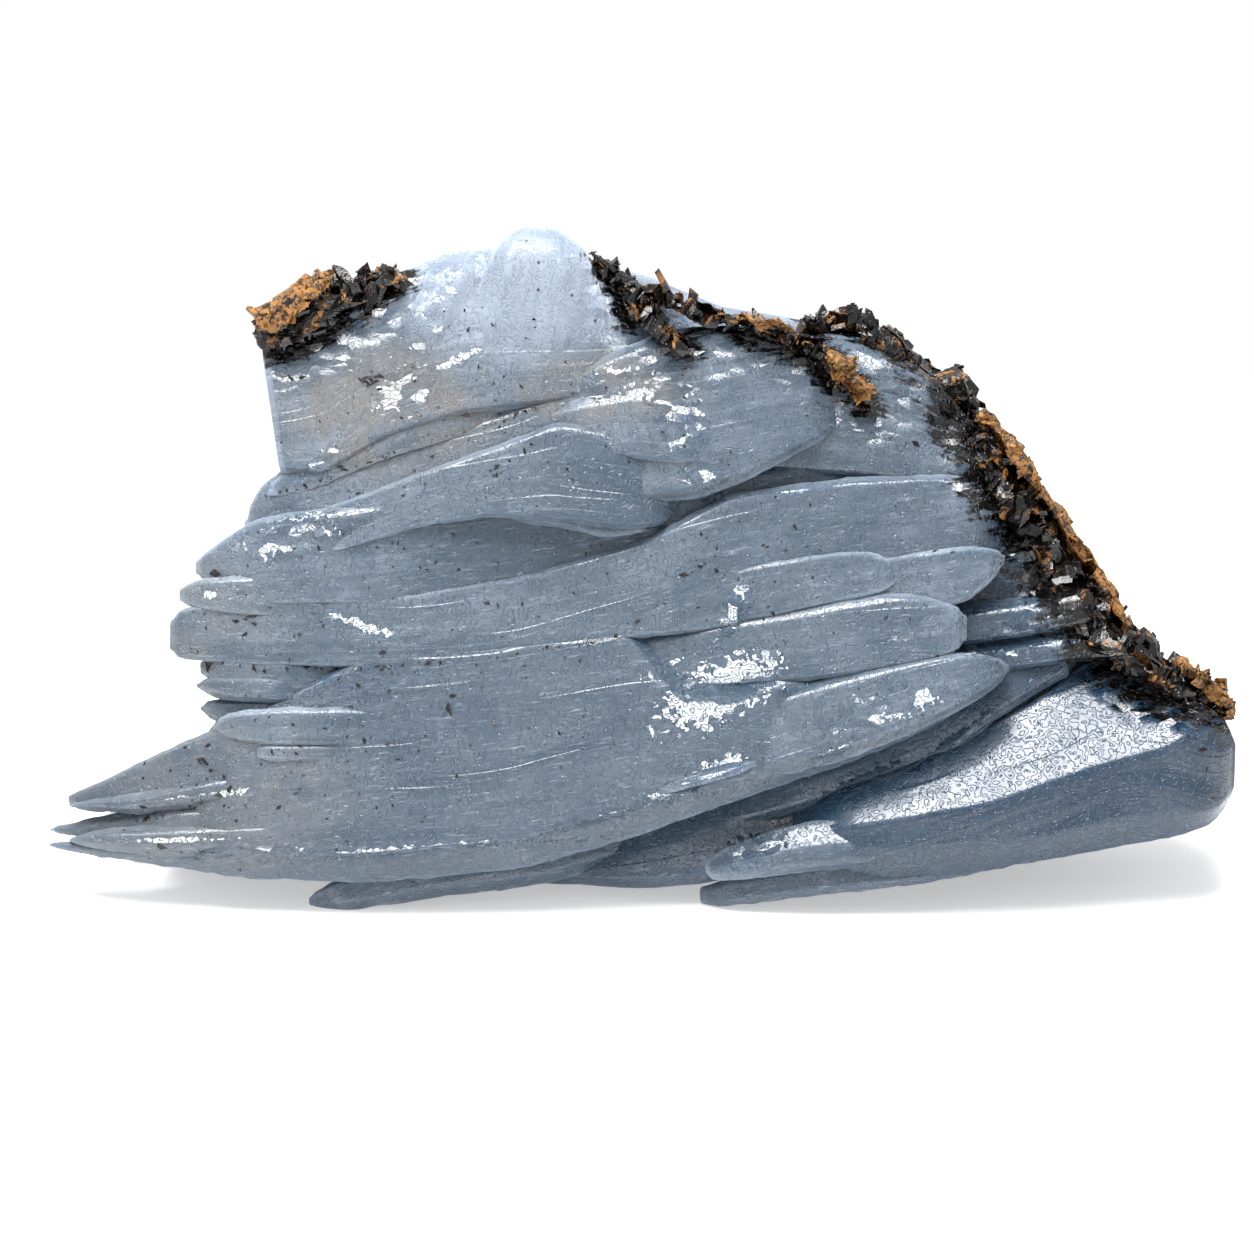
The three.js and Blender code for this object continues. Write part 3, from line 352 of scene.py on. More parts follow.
         (17, 9.4, 17.4, 4.2, -16.7), (22, 9.8, 23, 4.8, -16.9), (27, 10, 28, 6.2, -16.2),
         (31, 9.6, 31, 7.4, -14.8)], thick=7, bevel=(0.5, 0.16), edge=0.3, tone=(0.62, 0.16),
    ),
    "lower_right_crystal": blade(
        [(15.2, 11, 15.2, 5, -12.2, 0.5, 0.2), (17.6, 12, 17.6, 3.4, -14.2, 0.44, 0.3),
         (21, 12.9, 21, 2.8, -15.8, 0.4, 0.34), (26, 14.4, 26, 3, -16.6, 0.42, 0.3),
         (34, 18.4, 34, 4.2, -16.6, 0.52, 0.2), (40, 21.6, 40, 5.2, -16, 0.52, 0.14),
         (46, 26, 46, 6.2, -15.2, 0.56, 0.14), (52, 25.6, 52, 7.2, -14.4, 0.5, 0.14),
         (55.6, 22, 55.6, 8, -13.4, 0.28, 0.14), (58.6, 19.8, 58.4, 9.4, -11.6, 0.14, 0.14),
         (59.7, 19, 59.6, 11.4, -9.4, 0.1, 0.14)], thick=14, edge=0.2, lean=-5, blunt=True, facet=0.76,
        tone=(-0.02, 0.1),
    ),
    "lower_right_foot": blade(
        [(6, 2.4, 6.1, 0.6, -11), (9, 3.6, 9, 0.5, -13.4), (18, 5.4, 18, 1.8, -15.4),
         (28, 5.6, 28, 2.9, -15.9), (37, 6.4, 37, 4.6, -14.6)], thick=7, bevel=(0.2, 0.2), edge=0.24,
        tone=(0.46, 0.16),
    ),
}

BACK = {
    "back_lower": blade(
        [(-53, 10.4, -53, 7.4, 2), (-42, 17, -42, 6, 4), (-20, 22, -20, 6, 5.4), (4, 24, 4, 7, 6.4),
         (28, 26, 30, 9.6, 6.4), (48, 27, 55, 13.4, 4.6)], thick=9, lean=-6, tone=(0.5, 0.34),
    ),
    "back_foot": blade(
        [(-13, 10, -11, 5.2, 5), (4, 12, 4, 4.4, 6.6), (20, 14, 22, 4.6, 7), (34, 17, 37, 5.2, 6.6),
         (44, 20, 46, 8, 6)], thick=9, bevel=(0.14, 0.1), tone=(0.44, 0.34),
    ),
    "back_middle": blade(
        [(-44.6, 29.4, -44.8, 26.4, 3), (-34, 33.6, -34, 20, 5.6), (-10, 38, -10, 18, 8),
         (14, 41.6, 14, 20, 8.6), (34, 41.6, 36, 24, 7.6), (44, 36, 49, 27.6, 5.6)], thick=9, lean=-5,
        tone=(0.56, 0.42),
    ),
    "back_upper": blade(
        [(-35.6, 53, -34.8, 47.4, 1), (-28, 59, -26, 40, 3.4), (-10, 62.6, -8, 39, 5), (8, 57, 10, 38, 6),
         (26, 52, 30, 38, 6), (37, 45.4, 42, 36, 4.6)], thick=8, lean=-8, tone=(0.7, 0.5),
    ),
    "back_leaf_high": blade(
        [(-30, 49.6, -29, 43.6, 8), (-20, 55, -16, 42, 9.4), (-4, 56.6, 0, 40.4, 10.6),
         (12, 52.4, 16, 39.4, 10.6), (22, 46.6, 23, 42.6, 9.6)], thick=4.6, bevel=(0.16, 0.12), lean=-10,
        tone=(0.72, 0.56),
    ),
    "back_leaf_middle": blade(
        [(-38, 29.4, -38, 25, 10.4), (-24, 33.4, -24, 22, 12.4), (0, 37, 0, 21, 13.6),
         (18, 37.6, 20, 24, 13.2), (28, 34.6, 28.6, 30.4, 11.6)], thick=5, bevel=(0.12, 0.16), lean=-6,
        tone=(0.54, 0.5),
    ),
    "back_leaf_low": blade(
        [(-47, 12.6, -47, 8.6, 8.6), (-34, 17.8, -34, 7.6, 10.6), (-12, 21, -12, 8.8, 11.6),
         (10, 22.6, 12, 11.6, 12), (24, 21.6, 24.6, 17.4, 11)], thick=5, bevel=(0.14, 0.2), lean=-8,
        tone=(0.6, 0.46),
    ),
    "back_right_prism": blade(
        [(16, 15, 17, 8.4, 12), (24, 19, 26, 8.8, 13.4), (38, 24, 42, 11.4, 12.6), (50, 24.4, 55, 16, 9)],
        thick=5, bevel=(0.34, 0.3), tone=(0.34, 0.4),
    ),
    "back_stub_high": blade(
        [(-37, 37.6, -37.2, 34.4, 5), (-30, 40.4, -30, 33.6, 7), (-12, 43, -12, 35, 9)], thick=5,
        tone=(0.6, 0.5),
    ),
    "back_spear": blade(
        [(-56.6, 8.4, -56.6, 7.8, 0), (-50, 11.6, -50, 7, 2), (-38, 14.6, -38, 6.6, 5),
         (-22, 16.4, -22, 6.8, 8)], thick=6, bevel=(0.2, 0.3), tone=(0.8, 0.5),
    ),
}

# The least number of steps along a blade and of divisions of a side, and how many stations are measured
LEAST_STEPS = 4
LEAST_DIVISIONS = 3
MEASURED_STATIONS = 12

# How far along a blade its kinks are eased, and how its ends are rounded: how far each added ring is
# drawn in to the middle and back along the blade, in millimetres, and the most that it may be drawn in
KINK_EASE = 2.0
END_ROUND = ((0.4, 0.0), (0.12, 0.12), (0.0, 0.4))
DEEPEST_DRAW = 0.6

# The rounding of an edge takes up no more than this share of a side, and its corner moves in by this
# share of the rounding. An even facet reaches no deeper than this share of a blade's thickness.
ROUNDED_SHARE = 0.28
CORNER_EASE = 0.25
DEEPEST_FACET = 0.8

# Relief of a crystal face, in millimetres: lengths along and across a blade of its swells, of the
# wandering of its growth ledges and of the patches that have ledges
SWELL_WAVES = (11.0, 3.4)
WANDER_WAVES = (16.0, 5.0)
PATCH_WAVES = (7.0, 2.4)

# The growth ledges: their height, number and wandering, and the shares of each that climb and drop
LEDGE_RISE = 0.08
LEDGES_PER_MILLIMETRE = 0.34
LEDGE_WANDER = 1.6
LEDGE_CLIMB, LEDGE_DROP = 0.84, 0.16

# The length of the coarse and of the fine chips of an edge, the width from which a face stands up fully
# in its middle, and how steeply the relief of a bevel rises from its sharp edge
COARSE_CHIP, FINE_CHIP = 1.7, 0.6
CROWNED_WIDTH = 8
BEVEL_RISE = 2.5

# The slanting wall that the fan grew from, as x and v
WALL = [
    (-30, 80), (2, 64.2), (8.5, 61.4), (16, 60.4), (24, 58.2), (30, 52.6), (36.2, 45.4), (42, 37),
    (45.6, 31), (51, 25), (58.4, 19.2), (64, 8),
]

# Edges that turn by more than this stay sharp
CRYSTAL_SMOOTH = math.radians(30)
CRUST_SMOOTH = math.radians(22)

# Flakes come in this many shapes. They tilt by about so much, in radians, on a crust and on the crystals,
# and lie only where the crystals face the front by at least this much.
FLAKE_KINDS = 24
CRUST_TILT = 0.5
LONE_TILT = 0.2
LEAST_FACING = 0.3

# How much ochre an oxide has, how deep its grit is in metres, and its roughness where it is ochre
OCHRE_BIAS = {"black_oxide_finish": 0.02, "ochre_oxide_finish": 0.2, "lone_flake_finish": -0.3}
GRIT_DEPTH = 0.0001
OCHRE_ROUGHNESS = 0.7

# Oxide flakes that lie on the crystals, as x and v of each and about how wide it is
LONE_FLAKES = (
    (-42.5, 34, 0.9), (-38.5, 29.5, 0.5), (-33.8, 27.8, 0.6), (-24, 36.8, 0.6), (-19, 20.5, 0.6),
    (-18.6, 21.6, 0.6), (-22, 16.2, 0.6), (-43.5, 15.2, 1.1), (-42.6, 14.4, 0.7), (-47.6, 6.8, 0.6),
    (-50.5, 9.8, 0.6), (-49.4, 10.6, 0.5), (-43.2, 24.8, 0.8), (-26.8, 53.1, 0.9), (-25.8, 53.4, 0.6),
    (-34.6, 53.2, 1.0), (-33.6, 53.4, 0.6), (-7.4, 54.8, 0.4), (2.4, 30.8, 0.4), (38.2, 32.6, 0.9),
    (39.2, 31.8, 1.0), (40.2, 30.8, 1.0), (41.2, 29.8, 1.0), (39.6, 33, 0.6), (38.4, 30.8, 0.6),
    (-45.6, 17.6, 0.4), (-44.6, 18, 0.5), (-28.6, 20.6, 0.4), (27.4, 46.6, 0.8), (23.4, 49.2, 0.7),
    (56.4, 14.4, 0.6), (55.8, 16.2, 0.6), (36.4, 35.8, 0.8), (35, 38, 0.6), (31.8, 41.6, 0.6),
)

# Lines of fine oxide grains along seams between crystals, and about how wide the grains are
GRAIN_LINES = (
    (((-44, 24.9), (-35, 24.3), (-26, 24.5), (-14, 25.5), (-2, 27.6)), 0.3),
    (((-37.4, 41.6), (-31, 43.4), (-22, 46.6), (-10, 50.2)), 0.3),
    (((-15, 44), (-13, 45), (-11, 46.2)), 0.35),
    (((-52, 9), (-46, 10), (-40, 12.8)), 0.35),
    (((4, 33.4), (6.4, 34.8), (7.8, 36.4)), 0.35),
)
GRAINS_PER_MILLIMETRE = 1.2
SEAM_WIDTH = 0.15

# Fine grains scattered over the crystals: how many, then x and v of the middle and how far they spread
GRAIN_FIELDS = (
    (110, (-40, 14), (9, 6)),
    (90, (-30, 30), (11, 9)),
    (80, (-22, 50), (10, 8)),
    (60, (8, 33), (14, 7)),
    (30, (30, 34), (8, 6)),
)
GRAIN_WIDTH = 0.24

# Where the milky crystals have a faint beige stain: centre and size in the fan's frame, and strength
WARM_ZONES = (
    ((-25, -12, 50), (15, 14, 9), 1.0),
    ((-4, -12, 52), (12, 12, 5), 0.9),
    ((-54, -12, 28), (22, 16, 14), 0.6),
    ((-46, -12, 12), (25, 13, 11), 0.55),
)

# Regions of the fan as centre and size: the milky top, the dull end of the lower right crystal with its
# dark network, and that crystal's large facet, where the etch is deepest
REGIONS = {
    "pale": ((-12, -12, 63.5), (17, 16, 12.5)),
    "dull": ((60, -12, 13.5), (6.5, 16, 9)),
    "etched": ((37, -13, 16.5), (27, 14, 9)),
}

# Glossy facets that lean back to the light: x and v of the middle, half length and half height, and
# how many degrees the long side climbs
GLOSS_ZONES = (
    ((8.2, 22.2), (6.4, 2.5), 30),
    ((1.8, 24.2), (2.9, 0.4), 26),
    ((7.8, 14.5), (2.8, 1.0), 22),
    ((-27.4, 28.6), (3.2, 0.5), -17),
    ((-17.8, 55.2), (2.8, 0.45), 25),
    ((30.6, 29.6), (3.0, 0.5), 12),
    ((27.6, 27.8), (3.2, 0.4), 14),
    ((31, 17.2), (4.4, 0.5), 38),
    ((22, 13.4), (4.2, 0.5), 24),
    ((18.6, 15.8), (2.6, 0.5), 24),
    ((-22, 6.4), (15, 0.5), 4),
    ((-1, 10.2), (8, 0.45), 15),
    ((-46, 7.4), (6, 0.3), 3),
    ((-44, 11.6), (6, 0.35), 8),
)

# Crumpled places where small facets glint
SPARKLE_ZONES = (
    ((4.2, 48.6), (7.4, 2.2), -64),
    ((9.3, 30.2), (3.8, 1.2), 62),
    ((3.0, 12.2), (3.4, 0.9), 18),
    ((-3.2, 52.6), (2.4, 1.4), 20),
    ((-23.4, 51.8), (3.4, 1.8), 24),
    ((-21.4, 57), (6.4, 1.0), 68),
    ((-15.2, 51.9), (1.2, 0.6), 20),
    ((-19.5, 64.6), (4.6, 1.0), 10),
    ((-31.5, 44.6), (3.4, 1.0), 40),
    ((-35.5, 37.4), (5.4, 1.6), 12),
    ((24, 20.6), (6.4, 1.5), 18),
    ((38, 27.6), (5.4, 1.6), 16),
    ((11, 6.4), (3.4, 1.4), 22),
    ((-42, 31.8), (3.4, 0.7), 0),
    ((-40.4, 6.2), (5.4, 0.5), 4),
)

# The depth of the middle of these zones, and half of how deep they reach
ZONE_DEPTH = (-15.0, 9.0)

# The two kinds of glint: the distance stored for it, how wide and high its planes are, in millimetres,
# how steeply they all lean back, and how much each one differs
FACETS = {
    "even_facets": ("facet_distance", (6.0, 2.6, 1.0), (0.0, -0.5, 0.0), (0.15, 0.3, 0.0)),
    "small_facets": ("sparkle_distance", (1.5, 0.8, 1.0), (0.0, -0.3, 0.0), (0.9, 1.1, 0.0)),
}

# How often the etch lines curl, how much deeper they are on the glossy facets, and how pale or dark the
# milky top, the dull end and the etch lines are. The rims of blades are painted paler, a painted glow of
# light shining through thin edges.
ETCH_CURL = 38.0
ETCH_DEPTHS = (0.8, 1.1)
PALE_TOP = 0.22
DARK_END = -0.32
PAINTED_RIM_GLOW = 0.14
DARK_LINE = -0.1

# Roughness of the glossy facets, of plain faces, and what the rims and the milky top add to it
GLOSSY = 0.16
PLAIN = (0.2, 0.32)
RIM_DULLNESS = 0.32
TOP_DULLNESS = 0.2

# The camera looks along the fan's depth. In the plane of the fan's front its frame is this many
# millimetres wide, and this x and v are at its middle.
FRAME_WIDTH = 125.4
FRAME_CENTRE = (-1.3, 28.5)
FAN_FRONT = -10.0
CAMERA_DISTANCE = 470.0
SENSOR = 36.0
CLIP = (0.01, 20.0)

# The stage, in metres. Both lamps face LIT_PLACE.
FLOOR_RADIUS = 1.2
FLOOR_SIDES = 96
FLOOR_FADE = (0.14, 0.32)
SOFTBOX_PLACE = (-0.1, -0.17, 0.6)
SOFTBOX_SIZE = (0.44, 0.42)
FILL_PLACE = (-0.25, -0.9, 0.45)
FILL_SIZE = (0.5, 0.4)
LIT_PLACE = (0, 0, 0.03)

# The sides of a blade that face the front. They are numbered round from its upper edge.
FRONT_SIDES = (0, 1, 2)


def resample(rows, step):
    """Stations at even steps along a blade, as arrays, with the kinks between them eased."""
    rows = np.array(rows, float)
    middles = (rows[:, 0:2] + rows[:, 2:4]) / 2
    lengths = np.linalg.norm(np.diff(middles, axis=0), axis=1)
    marks = np.concatenate(([0.0], np.cumsum(lengths)))
    count = max(LEAST_STEPS, int(round(marks[-1] / step)))
    places = np.linspace(0.0, marks[-1], count + 1)
    fine = np.column_stack([np.interp(places, marks, rows[:, k]) for k in range(rows.shape[1])])
    for _ in range(max(1, int(round(KINK_EASE / (marks[-1] / count))))):
        fine[1:-1] = fine[1:-1] / 2 + (fine[:-2] + fine[2:]) / 4
    return places, fine


def corners_of(spec, row):
    """The six corners of a blade's cross-section, going round from the upper edge."""
    upper, lower = Vector(row[0:2]), Vector(row[2:4])
    across = upper - lower
    width = across.length
    across.normalize()
    middle = (upper + lower) / 2
    thick = spec["thick"]
    if not spec["blunt"]:
        thick = min(thick, TIP_THICKNESS + TIP_THICKNESS_PER_WIDTH * width)
    centre = row[4] + spec["thick"] / 2
    upper_edge = spec["edge"]
    if spec["facet"]:
        upper_edge = min(DEEPEST_FACET, spec["facet"] * row[5] * width / thick)
    found = []
    for share, depth in (
        (1, upper_edge),
        (1 - row[5], 0),
        (row[6], 0),
        (0, spec["edge"]),
        (row[6], 1),
        (1 - row[5], 1),
    ):
        reach = (share - 0.5) * width
        at = middle + across * reach
        found.append(Vector((at.x, centre + (depth - 0.5) * thick + spec["slope"] * reach, at.y)))
    return found, across, middle


def side_shares(length, count, edge_round):
    """Where the points of one side lie along it, with a close pair at each corner to round it."""
    edge = min(edge_round, ROUNDED_SHARE * length) / max(length, TINY)
    return [0.0, *np.linspace(edge, 1 - edge, count - 1)]


def wave(along, across, waves, away):
    """Smooth noise over the side of a blade, from -1 to 1."""
    return noise.noise(Vector((along / waves[0], across / waves[1], away)))


def relief(along, across, seed, swell):
    """Relief of a crystal face: long swells that run with the blade and low growth ledges on them."""
    wander = wave(along, across, WANDER_WAVES, seed * 3.1 + 40)
    phase = (across * LEDGES_PER_MILLIMETRE + LEDGE_WANDER * wander + 0.37 * seed) % 1.0
    ledge = min(phase / LEDGE_CLIMB, (1 - phase) / LEDGE_DROP)
    strength = max(0.0, wave(along, across, PATCH_WAVES, seed * 1.9 + 80) + 0.25)
    return swell * wave(along, across, SWELL_WAVES, seed * 7.3) + LEDGE_RISE * min(1.0, strength) * ledge


def chip_edges(corners, across, along, seed, wander):
    """Moves the two sharp edges of a blade in and out a little, as if worn and chipped."""
    for k, sign in ((0, 1), (3, -1)):
        chip = noise.noise(Vector((along / COARSE_CHIP, sign * 5.0, seed * 2.7)))
        chip += 0.6 * noise.noise(Vector((along / FINE_CHIP, sign * 9.0, seed * 1.3)))
        chip *= wander
        corners[k].x += chip * across.x
        corners[k].z += chip * across.y


def ring_of(spec, row, along, counts, seed, sizes):
    """The points round a blade at one station, each with how far across it is and how near an edge."""
    corners, across, middle = corners_of(spec, row)
    width = (corners[0] - corners[3]).length
    centre = sum(corners, Vector()) / 6
    chip_edges(corners, across, along, seed, sizes["edge_wander"])
    points = []
    for k in range(6):
        start, end = corners[k], corners[(k + 1) % 6]
        length = (end - start).length
        out = -1.0 if k in FRONT_SIDES else 1.0
        for number, share in enumerate(side_shares(length, counts[k], sizes["edge_round"])):
            point = start.lerp(end, share)
            if number == 0:
                back = corners[k - 1] - start
                reach = min(sizes["edge_round"], ROUNDED_SHARE * length, ROUNDED_SHARE * back.length)
                point = start + ((end - start).normalized() + back.normalized()) * reach * CORNER_EASE
            on_face = (share, 1.0, 1 - share)[k % 3]
            reach = (point.x - middle.x) * across.x + (point.z - middle.y) * across.y
            level = max(-1.0, min(1.0, 2 * reach / max(width, TINY)))
            crown = sizes["crown"] * min(1.0, width / CROWNED_WIDTH) * (1 - level * level)
            lift = relief(along, reach, seed + out, sizes["swell"]) + crown
            point.y += out * min(1.0, BEVEL_RISE * on_face) * lift
            points.append((point, reach, 1 - (1 - abs(level)) * width / 2))
    return points, centre


def counts_of(spec, rows, grain):
    """How many divisions each side of a blade gets, from the longest that it becomes."""
    longest = [0.0] * 6
    for row in rows[:: max(1, len(rows) // MEASURED_STATIONS)]:
        corners = corners_of(spec, row)[0]
        for k in range(6):
            longest[k] = max(longest[k], (corners[(k + 1) % 6] - corners[k]).length)
    sizes = [grain["front"] if k in FRONT_SIDES else grain["back"] for k in range(6)]
    return [max(LEAST_DIVISIONS, int(math.ceil(longest[k] / sizes[k]))) for k in range(6)]


def rounded_end(ring, inward):
    """Rings that stand for the last one of a blade, drawn in step by step to round its end."""
    drawn = []
    for inset, back in END_ROUND:
        points = []
        for point, reach, rim in ring[0]:
            away = ring[1] - point
            pull = min(inset / max(away.length, TINY), DEEPEST_DRAW)
            points.append((point + away * pull + inward * back, reach, rim))
        drawn.append((points, ring[1]))
    return drawn


def blade_rings(spec, grain, seed, sizes):
    """Rings of points along a blade, drawn in a little at both ends so that its ends are rounded."""
    places, rows = resample(spec["stations"], grain["along"])
    counts = counts_of(spec, rows, grain)
    rings = [ring_of(spec, row, place, counts, seed, sizes) for place, row in zip(places, rows)]
    added = len(END_ROUND) - 1
    first = rounded_end(rings[0], (rings[1][1] - rings[0][1]).normalized())
    last = rounded_end(rings[-1], (rings[-2][1] - rings[-1][1]).normalized())
    places = np.concatenate(([places[0]] * added, places, [places[-1]] * added))
    return places, [*first, *rings[1:-1], *reversed(last)]


def add_tube(bm, places, rings, tone):
    """A closed tube through rings of points, made from a grid that is rolled up and closed."""
    columns, rows = len(rings[0][0]), len(rings) - 1
    made = bmesh.ops.create_grid(bm, x_segments=columns, y_segments=rows, size=0.5)["verts"]
    grain, habit = bm.loops.layers.uv["grain"], bm.loops.layers.uv["habit"]
    length = max(places[-1], TINY)
    data = {}
    for vert in made:
        i = int(round((vert.co.x + 0.5) * columns))
        j = int(round((vert.co.y + 0.5) * rows))
        point, reach, rim = rings[j][0][i % columns]
        share = places[j] / length
        end = min(places[j], length - places[j])
        data[vert] = (places[j], reach, tone[0] + (tone[1] - tone[0]) * share, max(rim, 1 - end))
        vert.co = point
    for face in {f for vert in made for f in vert.link_faces}:
        for loop in face.loops:
            along, reach, shade, rim = data[loop.vert]
            loop[grain].uv = (along, reach)
            loop[habit].uv = (shade, max(0.0, min(1.0, rim)))
    bmesh.ops.remove_doubles(bm, verts=made, dist=1e-5)


def bmesh_of(mesh):
    """A new bmesh with what a mesh holds."""
    bm = bmesh.new()
    bm.from_mesh(mesh)
    return bm


def mesh_of(bm, name):
    """A new mesh with what a bmesh holds. The bmesh is given up."""
    mesh = bpy.data.meshes.new(name)
    bm.to_mesh(mesh)
    bm.free()
    return mesh


def linked_object(name, data):
    """A new object in the scene."""
    thing = bpy.data.objects.new(name, data)
    bpy.context.scene.collection.objects.link(thing)
    return thing


def blade_mesh(name, spec, grain, seed, sizes):
    """A crystal as a closed mesh, in millimetres in the fan's frame."""
    bm = bmesh.new()
    bm.loops.layers.uv.new("grain")
    bm.loops.layers.uv.new("habit")
    places, rings = blade_rings(spec, grain, seed, sizes)
    add_tube(bm, places, rings, spec["tone"])
    holes = [e for e in bm.edges if e.is_boundary]
    caps = bmesh.ops.holes_fill(bm, edges=holes, sides=0)["faces"]
    habit = bm.loops.layers.uv["habit"]
    for cap in caps:
        shades = {}
        for loop in cap.loops:
            for other in loop.vert.link_loops:
                if other.face is not cap:
                    shades[loop] = other[habit].uv.copy()
        for loop, shade in shades.items():
            loop[habit].uv = shade
    bmesh.ops.recalc_face_normals(bm, faces=bm.faces)
    return mesh_of(bm, name)


def mesh_with_modifiers(thing):
    """The mesh that an object's modifiers make of it. The object is removed."""
    graph = bpy.context.evaluated_depsgraph_get()
    mesh = bpy.data.meshes.new_from_object(thing.evaluated_get(graph))
    bpy.data.objects.remove(thing)
    return mesh


def combined(base, others, operation):
    """A new mesh: the others joined to the base mesh, or cut from it."""
    base_object = linked_object("combined_base", base)
    bucket = bpy.data.collections.new("combined_others")
    bpy.context.scene.collection.children.link(bucket)
    lent = [bpy.data.objects.new(f"combined_{k}", mesh) for k, mesh in enumerate(others)]
    for thing in lent:
        bucket.objects.link(thing)
    modifier = base_object.modifiers.new("combine", "BOOLEAN")
    modifier.operation = operation
    modifier.solver = "MANIFOLD"
    modifier.operand_type = "COLLECTION"
    modifier.collection = bucket
    mesh = mesh_with_modifiers(base_object)
    for thing in lent:
        bpy.data.objects.remove(thing)
    bpy.data.collections.remove(bucket)
    if not mesh.polygons:
        raise RuntimeError(f"the {operation.lower()} with {base.name} left nothing")
    return mesh


def largest_part(mesh):
    """Only the largest closed shell of a mesh, so that sealed gaps inside it are filled."""
    bm = bmesh_of(mesh)
    unseen = set(bm.verts)
    shells = []
    while unseen:
        shell = {unseen.pop()}
        fresh = list(shell)
        while fresh:
            vert = fresh.pop()
            near = {edge.other_vert(vert) for edge in vert.link_edges} & unseen
            unseen -= near
            shell |= near
            fresh.extend(near)
        shells.append(shell)
    shells.sort(key=len)
    spare = [vert for shell in shells[:-1] for vert in shell]
    bmesh.ops.delete(bm, geom=spare, context="VERTS")
    bm.to_mesh(mesh)
    bm.free()
    return mesh


def pull_out(bm, faces, way):
    """Pulls faces out into a closed block."""
    made = bmesh.ops.extrude_face_region(bm, geom=faces)["geom"]
    far = [g for g in made if isinstance(g, bmesh.types.BMVert)]
    bmesh.ops.translate(bm, verts=far, vec=way)


def wall_block():
    """Everything beyond the wall that the fan grew from, as a closed block."""
    bm = bmesh.new()
    outline = [*WALL, (FAR_OFF, WALL[-1][1]), (FAR_OFF, FAR_OFF), (WALL[0][0], FAR_OFF)]
    face = bm.faces.new([bm.verts.new((x, -FAR_OFF / 2, v)) for x, v in outline])
    pull_out(bm, [face], (0, FAR_OFF, 0))
    bmesh.ops.recalc_face_normals(bm, faces=bm.faces)
    return mesh_of(bm, "wall_block")


def floor_block():
    """Everything below the surface that the cluster rests on, in the fan's leaning frame."""
    bm = bmesh.new()
    bmesh.ops.create_cube(bm, size=FAR_OFF)
    bmesh.ops.translate(bm, verts=bm.verts, vec=(0, 0, -FAN_SHIFT.z - FAR_OFF / 2))
    turn = Matrix.Rotation(FAN_LEAN, 3, "X")
    bmesh.ops.rotate(bm, verts=bm.verts, cent=(0, 0, 0), matrix=turn)
    return mesh_of(bm, "floor_block")


def cad_copy(node):
    """A node's mesh as a new bmesh in the fan's frame, with its loose triangles merged."""
    bm = bmesh_of(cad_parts[node].data)
    bmesh.ops.remove_doubles(bm, verts=bm.verts, dist=1e-6)
    bmesh.ops.transform(bm, matrix=FAN.inverted(), verts=bm.verts)
    return bm


def store(mesh, name, values):
    """Stores a number at each point of a mesh."""
    mesh.attributes.new(name, "FLOAT", "POINT").data.foreach_set("value", values)


def store_crust_distance(mesh):
    """Stores at each point of the crystals how many millimetres away the nearest crust is."""
    trees = []
    for node, _ in (*BLACK_CRUSTS.values(), *OCHRE_CRUSTS.values()):
        bm = cad_copy(node)
        trees.append(BVHTree.FromBMesh(bm))
        bm.free()
    values = []
    for vert in mesh.vertices:
        nearest = STORED_LIMIT
        for tree in trees:
            found = tree.find_nearest(vert.co, nearest)[3]
            if found is not None:
                nearest = min(nearest, found)
        values.append(nearest)
    store(mesh, "crust_distance", values)


def store_zone_distance(mesh, name, zones):
    """Stores how far each point is from the nearest of some long zones, where 1 is a zone's rim."""
    places = np.empty(len(mesh.vertices) * 3)
    mesh.vertices.foreach_get("co", places)
    x, w, v = places.reshape(-1, 3).T
    nearest = np.full(len(x), STORED_LIMIT)
    behind = (w - ZONE_DEPTH[0]) / ZONE_DEPTH[1]
    for (middle_x, middle_v), (along, across), climb in zones:
        turn = math.radians(climb)
        forward = (x - middle_x) * math.cos(turn) + (v - middle_v) * math.sin(turn)
        upward = (v - middle_v) * math.cos(turn) - (x - middle_x) * math.sin(turn)
        nearest = np.minimum(nearest, np.sqrt((forward / along) ** 2 + (upward / across) ** 2 + behind**2))
    store(mesh, name, nearest)


def finished_object(name, mesh, material, smooth_angle):
    """A piece with its place in its mesh, smooth but for edges sharper than the angle given."""
    mesh.transform(FAN)
    mesh.materials.clear()
    mesh.materials.append(material)
    mesh.shade_smooth()
    mesh.set_sharp_from_angle(angle=smooth_angle)
    return linked_object(name, mesh)


def crystal_mesh():
    """The whole fan of crystals as one closed mesh, cut off at the wall and at the floor."""
    settings = bpy.context.scene.barite_sizes
    keys = ("edge_round", "edge_wander", "swell", "crown")
    sizes = {key: getattr(settings, key) / MILLIMETRE for key in keys}
    meshes = []
    for number, (group, grain) in enumerate(((CORE, HEART), (FRONT, FINE), (BACK, FAR))):
        for seed, (name, spec) in enumerate(group.items(), 100 * number):
            meshes.append(blade_mesh(name, spec, grain, seed, sizes))
    whole = largest_part(combined(meshes[0], meshes[1:], "UNION"))
    whole = combined(whole, [wall_block(), floor_block()], "DIFFERENCE")
    store_crust_distance(whole)
    store_zone_distance(whole, "facet_distance", GLOSS_ZONES)
    store_zone_distance(whole, "sparkle_distance", SPARKLE_ZONES)
    return whole


def length(name, description, default):
    """A length in metres that a user may change."""
    return FloatProperty(
        name=name, description=description, default=default, min=0.0, precision=5,
        subtype="DISTANCE", unit="LENGTH",
    )


def colour(name, description, default):
    """A linear colour that a user may change."""
    return FloatVectorProperty(
        name=name, description=description, default=default, size=3, min=0.0, max=1.0,
        subtype="COLOR",
    )


def power(name, description, default):
    """The power of a lamp that a user may change."""
    return FloatProperty(
        name=name, description=description, default=default, min=0.0, subtype="POWER", unit="POWER"
    )


